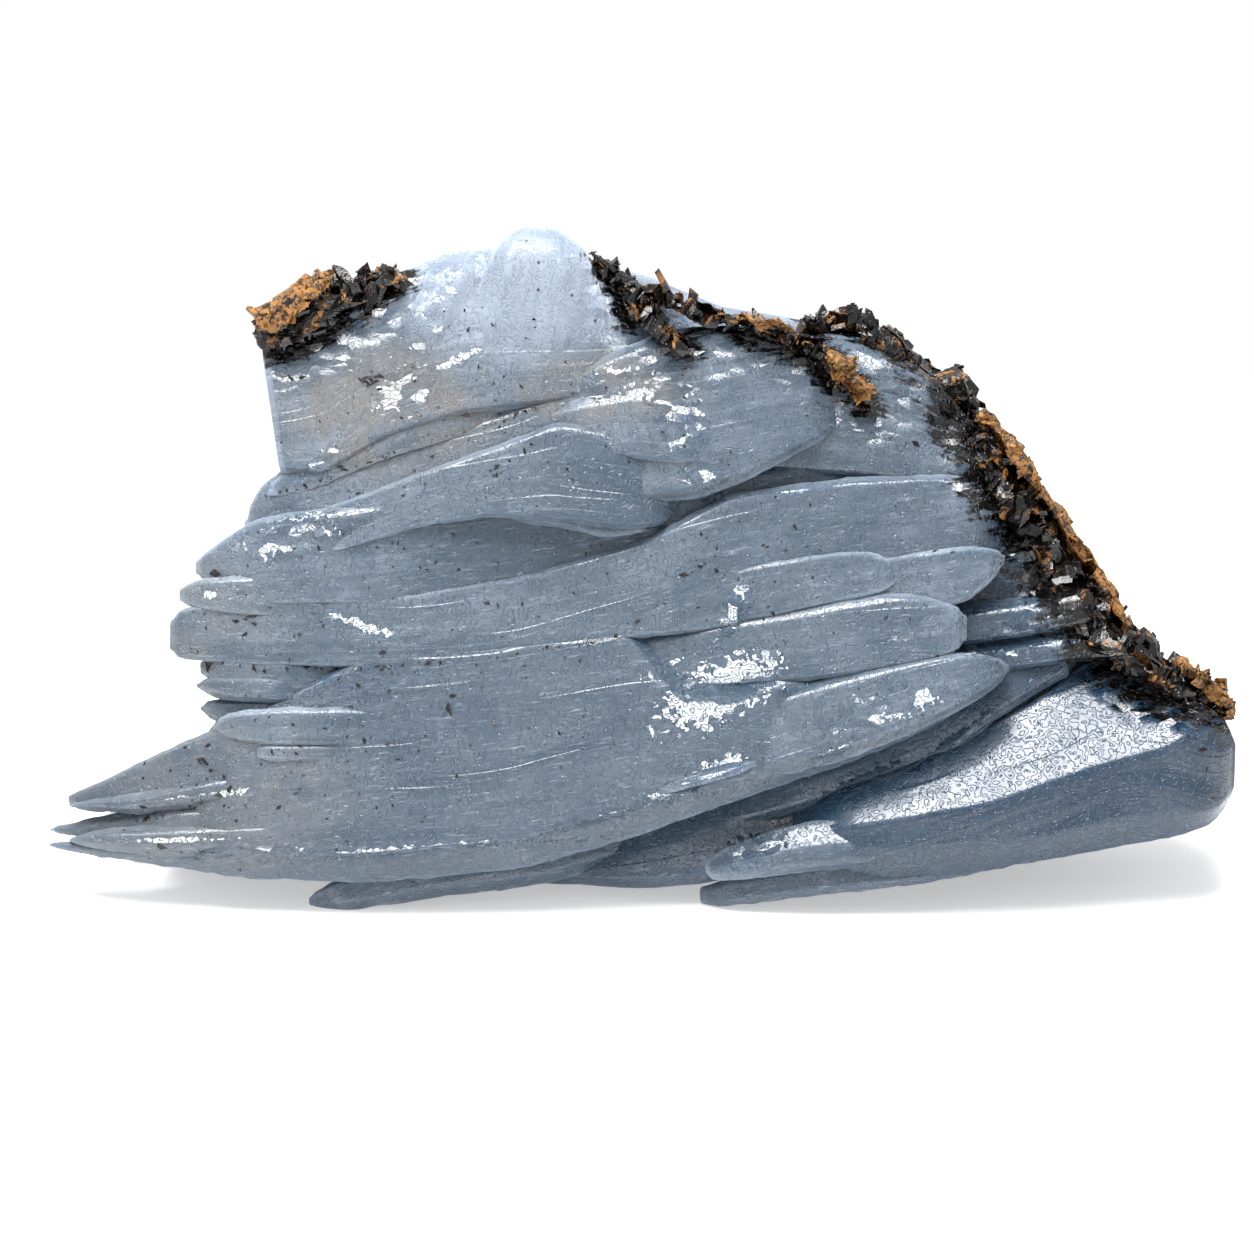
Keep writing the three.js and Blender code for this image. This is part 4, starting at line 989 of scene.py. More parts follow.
def brightness(name, description, default):
    """A brightness that a user may change."""
    return FloatProperty(name=name, description=description, default=default, min=0.0)


class BariteSizes(bpy.types.PropertyGroup):
    """Relief of the crystals and of the crusts that sit on them."""

    edge_round: length("Edge rounding", "How far each side of a crystal edge is eased", 0.0003)
    edge_wander: length("Edge wander", "How far a sharp edge strays from a straight line", 0.00016)
    swell: length("Face swell", "Height of the long swells on a crystal face", 0.00016)
    crown: length("Face crown", "How much the middle of a face stands up", 0.00008)
    etch: length("Etch depth", "Depth of the curling etch lines on the crystals", 0.00008)
    ledge: length("Ledge height", "Height of the finest growth ledges on the crystals", 0.00004)
    stain: length("Stain reach", "How far the black film runs out from a crust over the crystals", 0.0072)
    crust_cell: length("Crust fineness", "Size of the cells that a crust is divided into", 0.00028)
    crust_plate: length("Crust plates", "Width of the angular plates of a crust", 0.0023)
    crust_lump: length("Crust relief", "Height of the plates and lumps of a crust", 0.0009)
    flake: length("Flake size", "Width of the loose flakes on a crust", 0.0013)


class BariteColours(bpy.types.PropertyGroup):
    """Colours of the crystals and of the oxides."""

    deep: colour("Deep blue", "Clear crystal with darkness behind it", (0.011, 0.038, 0.076))
    middle: colour("Middle blue", "Most of the crystals", (0.057, 0.088, 0.123))
    milky: colour("Milky blue", "Pale cloudy crystal", (0.29, 0.34, 0.415))
    beige: colour("Beige tint", "Faint stain in the milky crystals", (0.144, 0.145, 0.148))
    black: colour("Black oxide", "Manganese oxide", (0.003, 0.0027, 0.0027))
    brown: colour("Brown oxide", "Where the black and the ochre mix", (0.085, 0.038, 0.012))
    ochre: colour("Ochre", "Iron oxide", (0.29, 0.128, 0.026))


class BariteStage(bpy.types.PropertyGroup):
    """Light and floor."""

    softbox: power("Softbox", "Power of the softbox above and in front", 10.0)
    fill: power("Fill light", "Power of the light beside the camera", 1.0)
    surround: brightness("Surround", "Brightness of the white surroundings", 0.75)
    floor: colour("Floor", "Colour of the floor", (0.7, 0.7, 0.7))
    table: brightness("Table light", "How brightly the white floor glows", 0.45)


class Graph:
    """Adds nodes to a material's tree or to a group and joins them up."""

    def __init__(self, tree):
        self.tree = tree

    def node(self, kind, inputs=None, **settings):
        made = self.tree.nodes.new(kind)
        for key, value in settings.items():
            setattr(made, key, value)
        for key, value in (inputs or {}).items():
            self.feed(made.inputs[key], value)
        return made

    def feed(self, socket, value):
        if isinstance(value, bpy.types.NodeSocket):
            self.tree.links.new(value, socket)
        else:
            socket.default_value = value

    def math(self, operation, *values):
        return self.node("ShaderNodeMath", dict(enumerate(values)), operation=operation).outputs[0]

    def vector(self, operation, *values):
        made = self.node("ShaderNodeVectorMath", dict(enumerate(values)), operation=operation)
        return made.outputs["Value" if operation in ("LENGTH", "DOT_PRODUCT") else "Vector"]

    def axes(self, vector):
        return self.node("ShaderNodeSeparateXYZ", {"Vector": vector}).outputs

    def stored(self, name):
        """A number stored at the points of the mesh."""
        return self.node("ShaderNodeAttribute", attribute_name=name).outputs["Fac"]

    def noise(self, place, scale, detail=2.0, rough=0.5, twist=0.0):
        inputs = {"Vector": place, "Scale": scale, "Detail": detail, "Roughness": rough}
        return self.node("ShaderNodeTexNoise", {**inputs, "Distortion": twist}).outputs["Fac"]

    def streaks(self, grain, along, across, detail=1.0, rough=0.6, twist=0.0):
        """Noise drawn out along a crystal, with so many waves to a millimetre along and across it."""
        return self.noise(self.vector("MULTIPLY", grain, (along, across, 1.0)), 1.0, detail, rough, twist)

    def ramp(self, value, low, high, start=0.0, end=1.0):
        inputs = {"Value": value, "From Min": low, "From Max": high, "To Min": start, "To Max": end}
        return self.node("ShaderNodeMapRange", inputs, interpolation_type="SMOOTHSTEP").outputs["Result"]

    def mix(self, share, first, second):
        """A colour that goes from first to second."""
        return self.node("ShaderNodeMix", {0: share, 6: first, 7: second}, data_type="RGBA").outputs[2]

    def blend(self, share, first, second):
        """A number that goes from first to second."""
        return self.node("ShaderNodeMix", {0: share, 2: first, 3: second}, data_type="FLOAT").outputs[0]

    def bump(self, height, distance):
        return self.node("ShaderNodeBump", {"Height": height, "Distance": distance}).outputs["Normal"]

    def group(self, tree, **inputs):
        inputs = {key.capitalize(): value for key, value in inputs.items()}
        return self.node("ShaderNodeGroup", inputs, node_tree=tree).outputs


def paint(name, share=1.0):
    """One of the colours that a user may change, made darker where share is below 1."""
    return (*(share * part for part in getattr(bpy.context.scene.barite_colours, name)), 1.0)


def new_group(name, taken, given):
    """The graph of a new node group with its input sockets and its output sockets."""
    tree = bpy.data.node_groups.new(name, "ShaderNodeTree")
    for way, sockets in (("INPUT", taken), ("OUTPUT", given)):
        for label, kind in sockets.items():
            tree.interface.new_socket(label, in_out=way, socket_type=f"NodeSocket{kind}")
    graph = Graph(tree)
    return graph, graph.node("NodeGroupInput").outputs, graph.node("NodeGroupOutput").inputs


def etch_group():
    """Curling etch lines: 1 along each thin groove and 0 between them."""
    graph, taken, given = new_group("etch_lines", {"Place": "Vector"}, {"Line": "Float"})
    field = graph.noise(taken["Place"], 1.0, 1.0, 0.5)
    wave_height = graph.math("SINE", graph.math("MULTIPLY", field, ETCH_CURL))
    graph.feed(given["Line"], graph.ramp(wave_height, 0.45, 1.0))
    return graph.tree


def zone_group():
    """A soft-edged rounded region of the fan: 1 in its middle and 0 outside."""
    sockets = {"Place": "Vector", "Centre": "Vector", "Size": "Vector"}
    graph, taken, given = new_group("soft_zone", sockets, {"Mask": "Float"})
    away = graph.vector("DIVIDE", graph.vector("SUBTRACT", taken["Place"], taken["Centre"]), taken["Size"])
    graph.feed(given["Mask"], graph.ramp(graph.vector("LENGTH", away), 1.0, 0.45))
    return graph.tree


def facet_group(name, coarse, tilt, spread):
    """Where some glossy facets are, and how high their small tilted planes stand, in millimetres."""
    sockets = {"Flat": "Vector", "Away": "Float"}
    graph, taken, given = new_group(name, sockets, {"Mask": "Float", "Height": "Float"})
    stretched = graph.vector("DIVIDE", taken["Flat"], coarse)
    inputs = {"Vector": stretched, "Scale": 1.0}
    cell = graph.node("ShaderNodeTexVoronoi", inputs, voronoi_dimensions="2D").outputs
    rise = graph.vector("MULTIPLY", graph.vector("SUBTRACT", stretched, cell["Position"]), coarse)
    chance = graph.vector("SUBTRACT", cell["Color"], (0.5, 0.5, 0.5))
    lean = graph.vector("MULTIPLY_ADD", chance, spread, tilt)
    graph.feed(given["Mask"], graph.ramp(taken["Away"], 1.04, 0.94))
    graph.feed(given["Height"], graph.vector("DOT_PRODUCT", rise, lean))
    return graph.tree


def ledge_group():
    """Fine growth ledges that run with a crystal, as a height from 0 to 1."""
    graph, taken, given = new_group("growth_ledges", {"Grain": "Vector"}, {"Height": "Float"})
    wander = graph.streaks(taken["Grain"], 0.04, 0.3)
    across = graph.axes(taken["Grain"])["Y"]
    count = graph.math("MULTIPLY_ADD", across, 0.7, graph.math("MULTIPLY", wander, 4.0))
    phase = graph.math("FRACT", count)
    climb = graph.math("DIVIDE", phase, 0.86)
    drop = graph.math("DIVIDE", graph.math("SUBTRACT", 1.0, phase), 0.14)
    ledge = graph.math("MULTIPLY", graph.math("MINIMUM", climb, drop), graph.ramp(wander, 0.5, 0.62))
    graph.feed(given["Height"], ledge)
    return graph.tree


def fan_place(graph):
    """Object coordinates turned into the fan's own frame, in millimetres."""
    inputs = {
        "Vector": graph.node("ShaderNodeTexCoord").outputs["Object"],
        "Location": FAN.inverted().to_translation(),
        "Rotation": (FAN_LEAN, 0, 0),
        "Scale": (1 / MILLIMETRE,) * 3,
    }
    return graph.node("ShaderNodeMapping", inputs, vector_type="POINT").outputs[0]


def principled(name, plain):
    """A new material, its graph and its Principled shader, with the values that are plain all over."""
    material = bpy.data.materials.new(name)
    material.use_nodes = True
    material.node_tree.nodes.clear()
    graph = Graph(material.node_tree)
    shader = graph.node("ShaderNodeBsdfPrincipled", plain)
    graph.node("ShaderNodeOutputMaterial", {"Surface": shader.outputs[0]})
    return material, graph, shader.inputs


def beige_share(graph, place, zone):
    """How much of the faint beige stain there is at a place."""
    warm = 0.0
    for centre, size, strength in WARM_ZONES:
        mask = graph.group(zone, place=place, centre=centre, size=size)["Mask"]
        warm = graph.math("MAXIMUM", warm, graph.math("MULTIPLY", mask, strength))
    blots = graph.noise(place, 0.2, 2.0, 0.6)
    return graph.math("MULTIPLY", warm, graph.ramp(blots, 0.3, 0.56, 0.25, 0.95))


def veil_and_glint_share(graph, place, grain):
    """How much white there is: thin veils along the crystals, fine flecks and painted glint dashes."""
    wisps = graph.ramp(graph.streaks(grain, 0.22, 1.5, 3.0, 0.7, 0.6), 0.58, 0.8, 0.0, 0.4)
    flecks = graph.ramp(graph.noise(place, 1.7, 2.0, 0.7), 0.6, 0.76, 0.0, 0.3)
    # Fine light dashes along the grain are painted glints, standing in for scratches that catch the light
    painted_glint_dashes = graph.ramp(graph.streaks(grain, 0.45, 4.5), 0.62, 0.74, 0.0, 0.4)
    return graph.math("ADD", wisps, graph.math("ADD", flecks, painted_glint_dashes))


def stain_share(graph, place, grain):
    """How much of the black film there is: it runs out from the crusts in streaks along the grain."""
    streaks = graph.streaks(grain, 0.16, 1.3, 2.0, 0.65)
    blots = graph.noise(place, 0.8, 2.0, 0.75)
    loss = graph.math("MULTIPLY_ADD", streaks, -1.2, graph.math("MULTIPLY", blots, -0.9))
    reach = bpy.context.scene.barite_sizes.stain / MILLIMETRE
    reach = graph.ramp(graph.axes(place)["X"], 22.0, 34.0, 0.4 * reach, reach)
    fade = graph.math("ADD", graph.math("DIVIDE", graph.stored("crust_distance"), reach), loss)
    return graph.ramp(fade, -0.62, -0.86)


def speck_share(graph, place):
    """How much of the fine round specks of oxide there is."""
    specks = graph.node("ShaderNodeTexVoronoi", {"Vector": place, "Scale": 0.9}).outputs
    size = graph.node("ShaderNodeSeparateColor", {"Color": specks["Color"]}).outputs[0]
    speck = graph.math("LESS_THAN", specks["Distance"], graph.ramp(size, 0.45, 1.0, 0.0, 0.16))
    return graph.math("MULTIPLY", speck, 0.85)


def crystal_masks(graph):
    """The coordinates and the masks that the crystals' colour, relief and roughness share."""
    place = fan_place(graph)
    grain = graph.node("ShaderNodeUVMap", uv_map="grain").outputs[0]
    habit = graph.axes(graph.node("ShaderNodeUVMap", uv_map="habit").outputs[0])
    masks = {"place": place, "grain": grain, "shade": habit["X"], "rim": habit["Y"]}
    parts = graph.axes(place)
    flat = graph.node("ShaderNodeCombineXYZ", {"X": parts["X"], "Y": parts["Z"]}).outputs[0]
    ragged = graph.math("MULTIPLY_ADD", graph.noise(place, 1.3, 1.0, 0.75), 2.2, -1.1)
    for name, (distance, coarse, tilt, spread) in FACETS.items():
        away = graph.math("ADD", graph.stored(distance), ragged)
        masks[name] = graph.group(facet_group(name, coarse, tilt, spread), flat=flat, away=away)
    masks["gloss"] = graph.math("MAXIMUM", masks["even_facets"]["Mask"], masks["small_facets"]["Mask"])
    zone = zone_group()
    for name, (centre, size) in REGIONS.items():
        masks[name] = graph.group(zone, place=place, centre=centre, size=size)["Mask"]
    masks["beige"] = beige_share(graph, place, zone)
    masks["line"] = graph.group(etch_group(), place=place)["Line"]
    masks["stain"] = stain_share(graph, place, grain)
    return masks


def crystal_tone(graph, masks):
    """How pale the crystal is, from 0 for clear deep blue to 1 for milky, with painted glow at the rims."""
    cloud = graph.noise(masks["place"], 0.12, 3.0, 0.6, 0.3)
    streaks = graph.streaks(masks["grain"], 0.07, 0.7, 3.0)
    tone = graph.math("ADD", masks["shade"], graph.math("MULTIPLY_ADD", cloud, 0.44, -0.25))
    tone = graph.math("ADD", tone, graph.math("MULTIPLY_ADD", streaks, 0.3, -0.15))
    tone = graph.math("MULTIPLY_ADD", masks["pale"], PALE_TOP, tone)
    tone = graph.math("MULTIPLY_ADD", masks["dull"], DARK_END, tone)
    # Rims of blades are painted paler: a painted glow of light shining through their thin edges
    tone = graph.math("ADD", tone, graph.ramp(masks["rim"], 0.2, 1.0, 0.0, PAINTED_RIM_GLOW))
    return graph.math("MULTIPLY_ADD", masks["line"], DARK_LINE, tone)


def crystal_colour(graph, masks):
    """Deep blue to milky, with beige stain, white veils, painted glints, specks and the black film."""
    tone = crystal_tone(graph, masks)
    low = graph.mix(graph.ramp(tone, 0.0, 0.5), paint("deep"), paint("middle"))
    body = graph.mix(graph.ramp(tone, 0.42, 1.0), low, paint("milky"))
    body = graph.mix(masks["beige"], body, paint("beige"))
    # Veils of milky white, and the painted glint dashes among them
    veil_and_glint = veil_and_glint_share(graph, masks["place"], masks["grain"])
    veil_and_glint = graph.math("MULTIPLY", veil_and_glint, graph.ramp(tone, -0.1, 0.4, 0.3, 1.0))
    body = graph.mix(veil_and_glint, body, paint("milky"))
    network = graph.math("MULTIPLY", graph.math("MULTIPLY", masks["line"], masks["dull"]), 0.7)
    dark = graph.math("MAXIMUM", masks["stain"], network)
    dark = graph.math("MAXIMUM", speck_share(graph, masks["place"]), dark)
    return graph.mix(dark, body, paint("black"))


def crystal_relief(graph, masks):
    """How high the etch, the growth ledges and the glinting planes stand, in millimetres."""
    sizes = bpy.context.scene.barite_sizes
    depth = graph.blend(graph.math("MAXIMUM", masks["gloss"], masks["etched"]), *ETCH_DEPTHS)
    groove = graph.math("MULTIPLY", graph.math("MULTIPLY", masks["line"], depth), -sizes.etch / MILLIMETRE)
    ledge = graph.group(ledge_group(), grain=masks["grain"])["Height"]
    height = graph.math("MULTIPLY_ADD", ledge, sizes.ledge / MILLIMETRE, groove)
    even, small = masks["even_facets"], masks["small_facets"]
    height = graph.math("MULTIPLY_ADD", even["Height"], even["Mask"], height)
    crumpled = graph.math("MAXIMUM", small["Mask"], graph.ramp(graph.stored("crust_distance"), 5.0, 0.5))
    height = graph.math("MULTIPLY_ADD", small["Height"], crumpled, height)
    return graph.math("MULTIPLY_ADD", graph.noise(masks["place"], 1.2, 1.0, 0.6), 0.03, height)


def crystal_roughness(graph, masks):
    """Glossy facets and film, duller faces, and the dullest rims and top."""
    dull = graph.ramp(graph.noise(masks["place"], 0.3, 1.0), 0.3, 0.7, *PLAIN)
    dull = graph.math("ADD", dull, graph.ramp(masks["rim"], 0.3, 0.9, 0.0, RIM_DULLNESS))
    dull = graph.math("MULTIPLY_ADD", masks["pale"], TOP_DULLNESS, dull)
    return graph.blend(graph.math("MAXIMUM", masks["gloss"], masks["stain"]), dull, GLOSSY)


def barite_finish():
    """Milky to clear blue barite with a fine etch, faint beige stain and specks of oxide."""
    plain = {
        "IOR": 1.64,
        "Subsurface Weight": 1.0,
        "Subsurface Radius": (0.55, 0.8, 1.0),
        "Subsurface Scale": 0.0015,
        "Transmission Weight": 0.1,
    }
    material, graph, shader = principled("barite_finish", plain)
    masks = crystal_masks(graph)
    graph.feed(shader["Base Color"], crystal_colour(graph, masks))
    graph.feed(shader["Normal"], graph.bump(crystal_relief(graph, masks), MILLIMETRE))
    graph.feed(shader["Roughness"], crystal_roughness(graph, masks))
    return material


def oxide_finish(name):
    """Black and ochre oxide in rough patches."""
    bias = OCHRE_BIAS[name]
    material, graph, shader = principled(name, {"IOR": 1.5})
    place = fan_place(graph)
    patches = graph.noise(place, 0.55, 3.0, 0.62, 0.8)
    fine = graph.noise(place, 2.4, 3.0, 0.6)
    mixed = graph.math("ADD", patches, graph.math("MULTIPLY_ADD", fine, 0.22, -0.11))
    ochre = graph.ramp(mixed, 0.61 - bias, 0.63 - bias)
    brown = graph.ramp(mixed, 0.55 - bias, 0.61 - bias, 0.0, 0.6)
    body = graph.mix(brown, paint("black"), paint("brown"))
    earthy = graph.mix(graph.ramp(fine, 0.35, 0.7), paint("ochre"), paint("ochre", 0.55))
    body = graph.mix(ochre, body, earthy)
    cracks = graph.math("ABSOLUTE", graph.math("SUBTRACT", graph.noise(place, 0.8, 3.0, 0.6), 0.5))
    body = graph.mix(graph.ramp(cracks, 0.05, 0.01, 0.0, 0.9), body, paint("black"))
    graph.feed(shader["Base Color"], body)
    gloss = graph.ramp(graph.noise(place, 1.3, 1.0), 0.35, 0.65, 0.08, 0.26)
    graph.feed(shader["Roughness"], graph.blend(ochre, gloss, OCHRE_ROUGHNESS))
    graph.feed(shader["Normal"], graph.bump(graph.noise(place, 2.6, 2.0, 0.6), GRIT_DEPTH))
    return material


def floor_finish():
    """Plain white, fading out into the white surroundings far from the cluster."""
    stage = bpy.context.scene.barite_stage
    plain = {
        "Base Color": (*stage.floor, 1.0),
        "Roughness": 0.9,
        "Specular IOR Level": 0.1,
        "Emission Color": (1.0, 1.0, 1.0, 1.0),
        "Emission Strength": stage.table,
    }
    material, graph, shader = principled("floor_finish", plain)
    away = graph.vector("LENGTH", graph.node("ShaderNodeTexCoord").outputs["Object"])
    graph.feed(shader["Alpha"], graph.ramp(away, FLOOR_FADE[1], FLOOR_FADE[0]))
    return material


def divided(mesh, cell):
    """The mesh rebuilt from even cells."""
    thing = linked_object("divided", mesh)
    modifier = thing.modifiers.new("cells", "REMESH")
    modifier.mode = "VOXEL"
    modifier.voxel_size = cell
    return mesh_with_modifiers(thing)


def broken_up(bm, plate, lump, manner, seed):
    """Breaks the skin of a crust into tilted angular plates that stand at different heights."""
    bm.normal_update()
    skin = BVHTree.FromBMesh(bm)
    away = Vector((seed * 11.3, seed * 5.1, seed * 2.9))
    moves = []
    for vert in bm.verts:
        place = (vert.co + away) / plate
        centre = noise.voronoi(place)[1][0]
        lean = noise.cell_vector(centre * 37) * 2 - Vector((1, 1, 1))
        height = PLATE_TILT * lean.dot(place - centre)
        height += PLATE_STEP * (noise.cell(centre * 53 + Vector((9, 9, 9))) - 0.5)
        height += CRUST_SWELL * noise.fractal(place / 2.6, 0.9, 2.0, 2)
        worn = max(0.0, noise.noise(place / 2.2 + Vector((70, 0, 0)))) * manner["gaps"]
        across = skin.ray_cast(vert.co - 0.05 * vert.normal, -vert.normal)[3] or FAR_OFF
        sink = min(manner["sink"] * (1 + worn), DEEPEST_SINK * across)
        moves.append(vert.normal * (lump * height - sink))
    for vert, move in zip(bm.verts, moves):
        vert.co += move
        crest = np.interp(vert.co.x, *manner["crest"]) + noise.noise(vert.co / 1.3 + away)
        vert.co.z = min(vert.co.z, crest)


def flake_mesh(sides, chance):
    """An angular flake about one unit wide, lying flat."""
    bm = bmesh.new()
    made = bmesh.ops.create_circle(bm, cap_ends=True, segments=sides, radius=0.5)["verts"]
    for vert in made:
        vert.co *= chance.uniform(0.5, 1.25)
    bmesh.ops.scale(bm, verts=made, vec=(chance.uniform(0.9, 2.0), chance.uniform(0.5, 0.9), 1))
    thick = chance.uniform(0.1, 0.3)
    slip = (chance.uniform(-0.2, 0.2), chance.uniform(-0.2, 0.2), thick)
    pull_out(bm, list(bm.faces), slip)
    bmesh.ops.translate(bm, verts=bm.verts, vec=(0, 0, -0.4 * thick))
    bmesh.ops.recalc_face_normals(bm, faces=bm.faces)
    return mesh_of(bm, "flake")


def add_flakes(bm, spots, tilt, chance):
    """Angular flakes at the spots given, each a place, a direction and a width."""
    kinds = [flake_mesh(chance.randint(3, 6), chance) for _ in range(FLAKE_KINDS)]
    for at, facing, width in spots:
        size = width * chance.uniform(0.6, 1.6)
        turn = facing.to_track_quat("Z", "Y").to_matrix()
        turn = turn @ Matrix.Rotation(chance.uniform(0, math.tau), 3, "Z")
        turn = turn @ Matrix.Rotation(chance.gauss(0, tilt), 3, "X")
        mesh = chance.choice(kinds).copy()
        mesh.transform(Matrix.Translation(at) @ turn.to_4x4() @ Matrix.Scale(size, 4))
        bm.from_mesh(mesh)
        bpy.data.meshes.remove(mesh)


def crust_piece(name, node, material, seed, manner):
    """A crust as a broken, flaky mass that stands for its plain solid."""
    sizes = bpy.context.scene.barite_sizes
    mesh = divided(mesh_of(cad_copy(node), name), sizes.crust_cell / MILLIMETRE)
    bm = bmesh_of(mesh)
    plate = manner["plates"] * sizes.crust_plate / MILLIMETRE
    broken_up(bm, plate, manner["lumps"] * sizes.crust_lump / MILLIMETRE, manner, seed)
    bm.normal_update()
    chance = random.Random(seed)
    faces = list(bm.faces)
    area = sum(face.calc_area() for face in faces)
    picked = chance.sample(faces, min(len(faces), int(area * manner["flakes"])))
    width = sizes.flake / MILLIMETRE
    spots = [(face.calc_center_median(), face.normal.copy(), width) for face in picked]
    flakes = bmesh.new()
    add_flakes(flakes, spots, CRUST_TILT, chance)
    bm.from_mesh(mesh_of(flakes, "flakes"))
    bm.to_mesh(mesh)
    bm.free()
    piece = finished_object(name, mesh, material, CRUST_SMOOTH)
    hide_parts(node)
    return piece


def grain_places(chance):
    """Where the fine grains lie, along the seams and scattered, as x, v and width."""
    places = []
    for line, width in GRAIN_LINES:
        for start, end in zip(line[:-1], line[1:]):
            reach = Vector(end) - Vector(start)
            for _ in range(int(reach.length * GRAINS_PER_MILLIMETRE) + 1):
                at = Vector(start) + reach * chance.random()
                places.append((at.x, at.y + chance.gauss(0, SEAM_WIDTH), width * chance.uniform(0.5, 1.4)))
    for count, (x, v), (wide, high) in GRAIN_FIELDS:
        for _ in range(count):
            width = GRAIN_WIDTH * chance.uniform(0.5, 1.5)
            places.append((chance.gauss(x, wide), chance.gauss(v, high), width))
    return places


def lone_flakes(name, material):
    """The flakes and grains of oxide that lie on the front of the crystals."""
    chance = random.Random(5)
    crystals = bmesh_of(bpy.data.objects["barite_cluster"].data)
    bmesh.ops.transform(crystals, matrix=FAN.inverted(), verts=crystals.verts)
    surface = BVHTree.FromBMesh(crystals)
    crystals.free()
    spots = []
    for x, v, width in [*LONE_FLAKES, *grain_places(chance)]:
        at, facing = surface.ray_cast(Vector((x, -FAR_OFF, v)), Vector((0, 1, 0)))[:2]
        if at is not None and facing.y < -LEAST_FACING:
            spots.append((at, facing, width))
    bm = bmesh.new()
    add_flakes(bm, spots, LONE_TILT, chance)
    return finished_object(name, mesh_of(bm, name), material, CRUST_SMOOTH)


def placed(piece):
    """The piece rides on the one body."""
    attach(piece, "root")


def build_crusts(crusts, material, first_seed):
    """All crusts of one kind."""
    for seed, (name, (node, manner)) in enumerate(crusts.items(), first_seed):
        placed(crust_piece(name, node, material, seed, manner))


class BARITE_OT_crystals(bpy.types.Operator):
    """Build the fan of barite crystals"""

    bl_idname = "barite.crystals"
    bl_label = "Barite crystals"

    def execute(self, context):
        piece = finished_object("barite_cluster", crystal_mesh(), barite_finish(), CRYSTAL_SMOOTH)
        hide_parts("barite_crystals")
        placed(piece)
        return {"FINISHED"}


class BARITE_OT_black_crusts(bpy.types.Operator):
    """Build the crusts of black manganese oxide"""

    bl_idname = "barite.black_crusts"
    bl_label = "Black oxide crusts"

    def execute(self, context):
        build_crusts(BLACK_CRUSTS, oxide_finish("black_oxide_finish"), 0)
        return {"FINISHED"}


class BARITE_OT_ochre_crusts(bpy.types.Operator):
    """Build the crusts of ochre iron oxide"""

    bl_idname = "barite.ochre_crusts"
    bl_label = "Ochre oxide crusts"

    def execute(self, context):
        build_crusts(OCHRE_CRUSTS, oxide_finish("ochre_oxide_finish"), 10)
        return {"FINISHED"}


class BARITE_OT_lone_flakes(bpy.types.Operator):
    """Scatter the oxide flakes and grains that lie on the crystals"""

    bl_idname = "barite.lone_flakes"
    bl_label = "Lone oxide flakes"

    def execute(self, context):
        piece = lone_flakes("lone_oxide_flakes", oxide_finish("lone_flake_finish"))
        placed(piece)
        return {"FINISHED"}


def area_light(name, place, size, strength):
    """A soft rectangular light at a place, turned to face the cluster."""
    data = bpy.data.lights.new(name, "AREA")
    data.shape = "RECTANGLE"
    data.size, data.size_y = size
    data.energy = strength
    light = linked_object(name, data)
    light.location = place
    light.rotation_euler = (Vector(LIT_PLACE) - Vector(place)).to_track_quat("-Z", "Y").to_euler()


def white_surroundings(strength):
    """Surroundings that light the cluster softly and look plain white behind it."""
    world = bpy.data.worlds.new("white_surroundings")
    world.use_nodes = True
    world.node_tree.nodes.clear()
    graph = Graph(world.node_tree)
    seen = graph.node("ShaderNodeLightPath").outputs["Is Camera Ray"]
    strength = graph.blend(seen, strength, 1.0)
    back = graph.node("ShaderNodeBackground", {"Color": (1, 1, 1, 1), "Strength": strength})
    graph.node("ShaderNodeOutputWorld", {"Surface": back.outputs[0]})
    bpy.context.scene.world = world


def white_floor():
    """The broad white disc that the cluster stands on."""
    bm = bmesh.new()
    bmesh.ops.create_circle(bm, cap_ends=True, segments=FLOOR_SIDES, radius=FLOOR_RADIUS)
    mesh = mesh_of(bm, "floor")
    mesh.materials.append(floor_finish())
    floor = linked_object("floor", mesh)


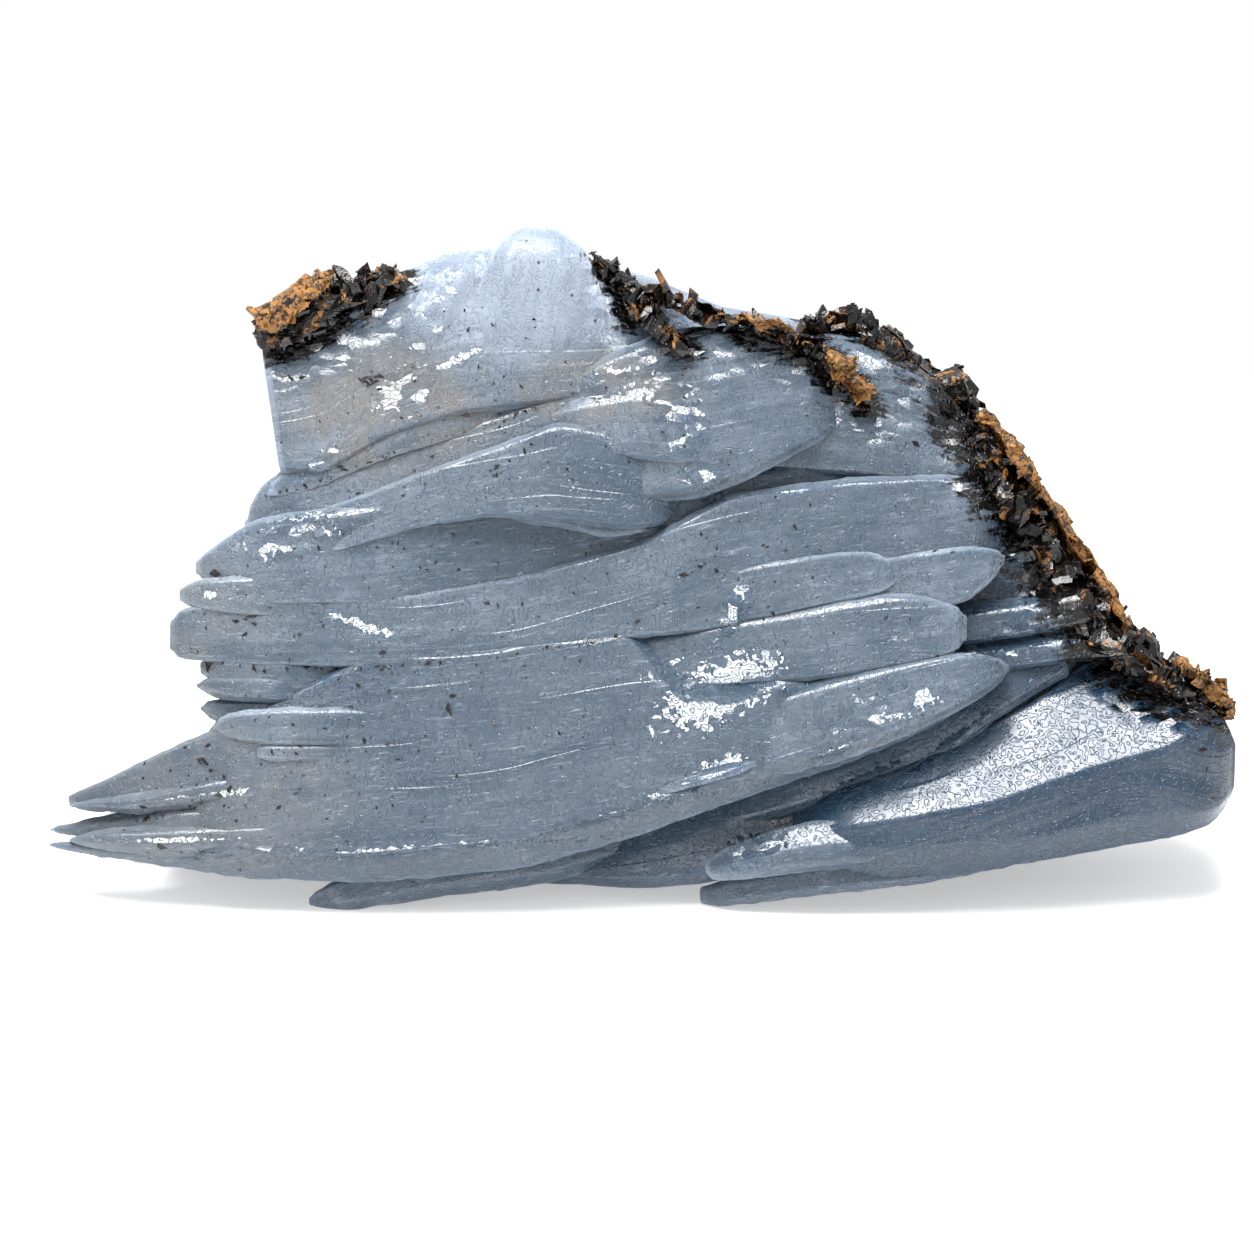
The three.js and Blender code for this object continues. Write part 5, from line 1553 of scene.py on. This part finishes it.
def front_camera():
    """The camera, square to the leaning fan."""
    data = bpy.data.cameras.new("camera")
    data.sensor_width = SENSOR
    data.lens = SENSOR * CAMERA_DISTANCE / FRAME_WIDTH
    data.clip_start, data.clip_end = CLIP
    camera = linked_object("camera", data)
    camera.location = FAN @ Vector((FRAME_CENTRE[0], FAN_FRONT - CAMERA_DISTANCE, FRAME_CENTRE[1]))
    camera.rotation_euler = (math.radians(90) - FAN_LEAN, 0, 0)
    return camera


class BARITE_OT_stage(bpy.types.Operator):
    """Build the floor, the lights and the camera"""

    bl_idname = "barite.stage"
    bl_label = "Stage"

    def execute(self, context):
        scene = context.scene
        white_floor()
        area_light("softbox", SOFTBOX_PLACE, SOFTBOX_SIZE, scene.barite_stage.softbox)
        area_light("front_fill", FILL_PLACE, FILL_SIZE, scene.barite_stage.fill)
        white_surroundings(scene.barite_stage.surround)
        scene.camera = front_camera()
        scene.view_settings.view_transform = "Standard"
        return {"FINISHED"}


STEPS = (
    BARITE_OT_crystals,
    BARITE_OT_black_crusts,
    BARITE_OT_ochre_crusts,
    BARITE_OT_lone_flakes,
    BARITE_OT_stage,
)


# What a user may change, by the name that the scene keeps it under
SETTINGS = {"barite_sizes": BariteSizes, "barite_colours": BariteColours, "barite_stage": BariteStage}


class BARITE_PT_cluster(bpy.types.Panel):
    """Lists the steps and what they can be changed by"""

    bl_label = "Barite cluster"
    bl_idname = "BARITE_PT_cluster"
    bl_space_type = "VIEW_3D"
    bl_region_type = "UI"
    bl_category = "Barite"

    def draw(self, context):
        for name, kind in SETTINGS.items():
            box = self.layout.box()
            for key in kind.__annotations__:
                box.prop(getattr(context.scene, name), key)
        for step in STEPS:
            self.layout.operator(step.bl_idname)


CLASSES = (*SETTINGS.values(), *STEPS, BARITE_PT_cluster)


def register():
    for cls in CLASSES:
        bpy.utils.register_class(cls)
    for name, kind in SETTINGS.items():
        setattr(bpy.types.Scene, name, PointerProperty(type=kind))


def unregister():
    for name in SETTINGS:
        delattr(bpy.types.Scene, name)
    for cls in reversed(CLASSES):
        bpy.utils.unregister_class(cls)


def main():
    """Builds every piece and the stage."""
    register()
    bpy.ops.barite.crystals()
    bpy.ops.barite.black_crusts()
    bpy.ops.barite.ochre_crusts()
    bpy.ops.barite.lone_flakes()
    bpy.ops.barite.stage()


if __name__ == "__main__":
    main()
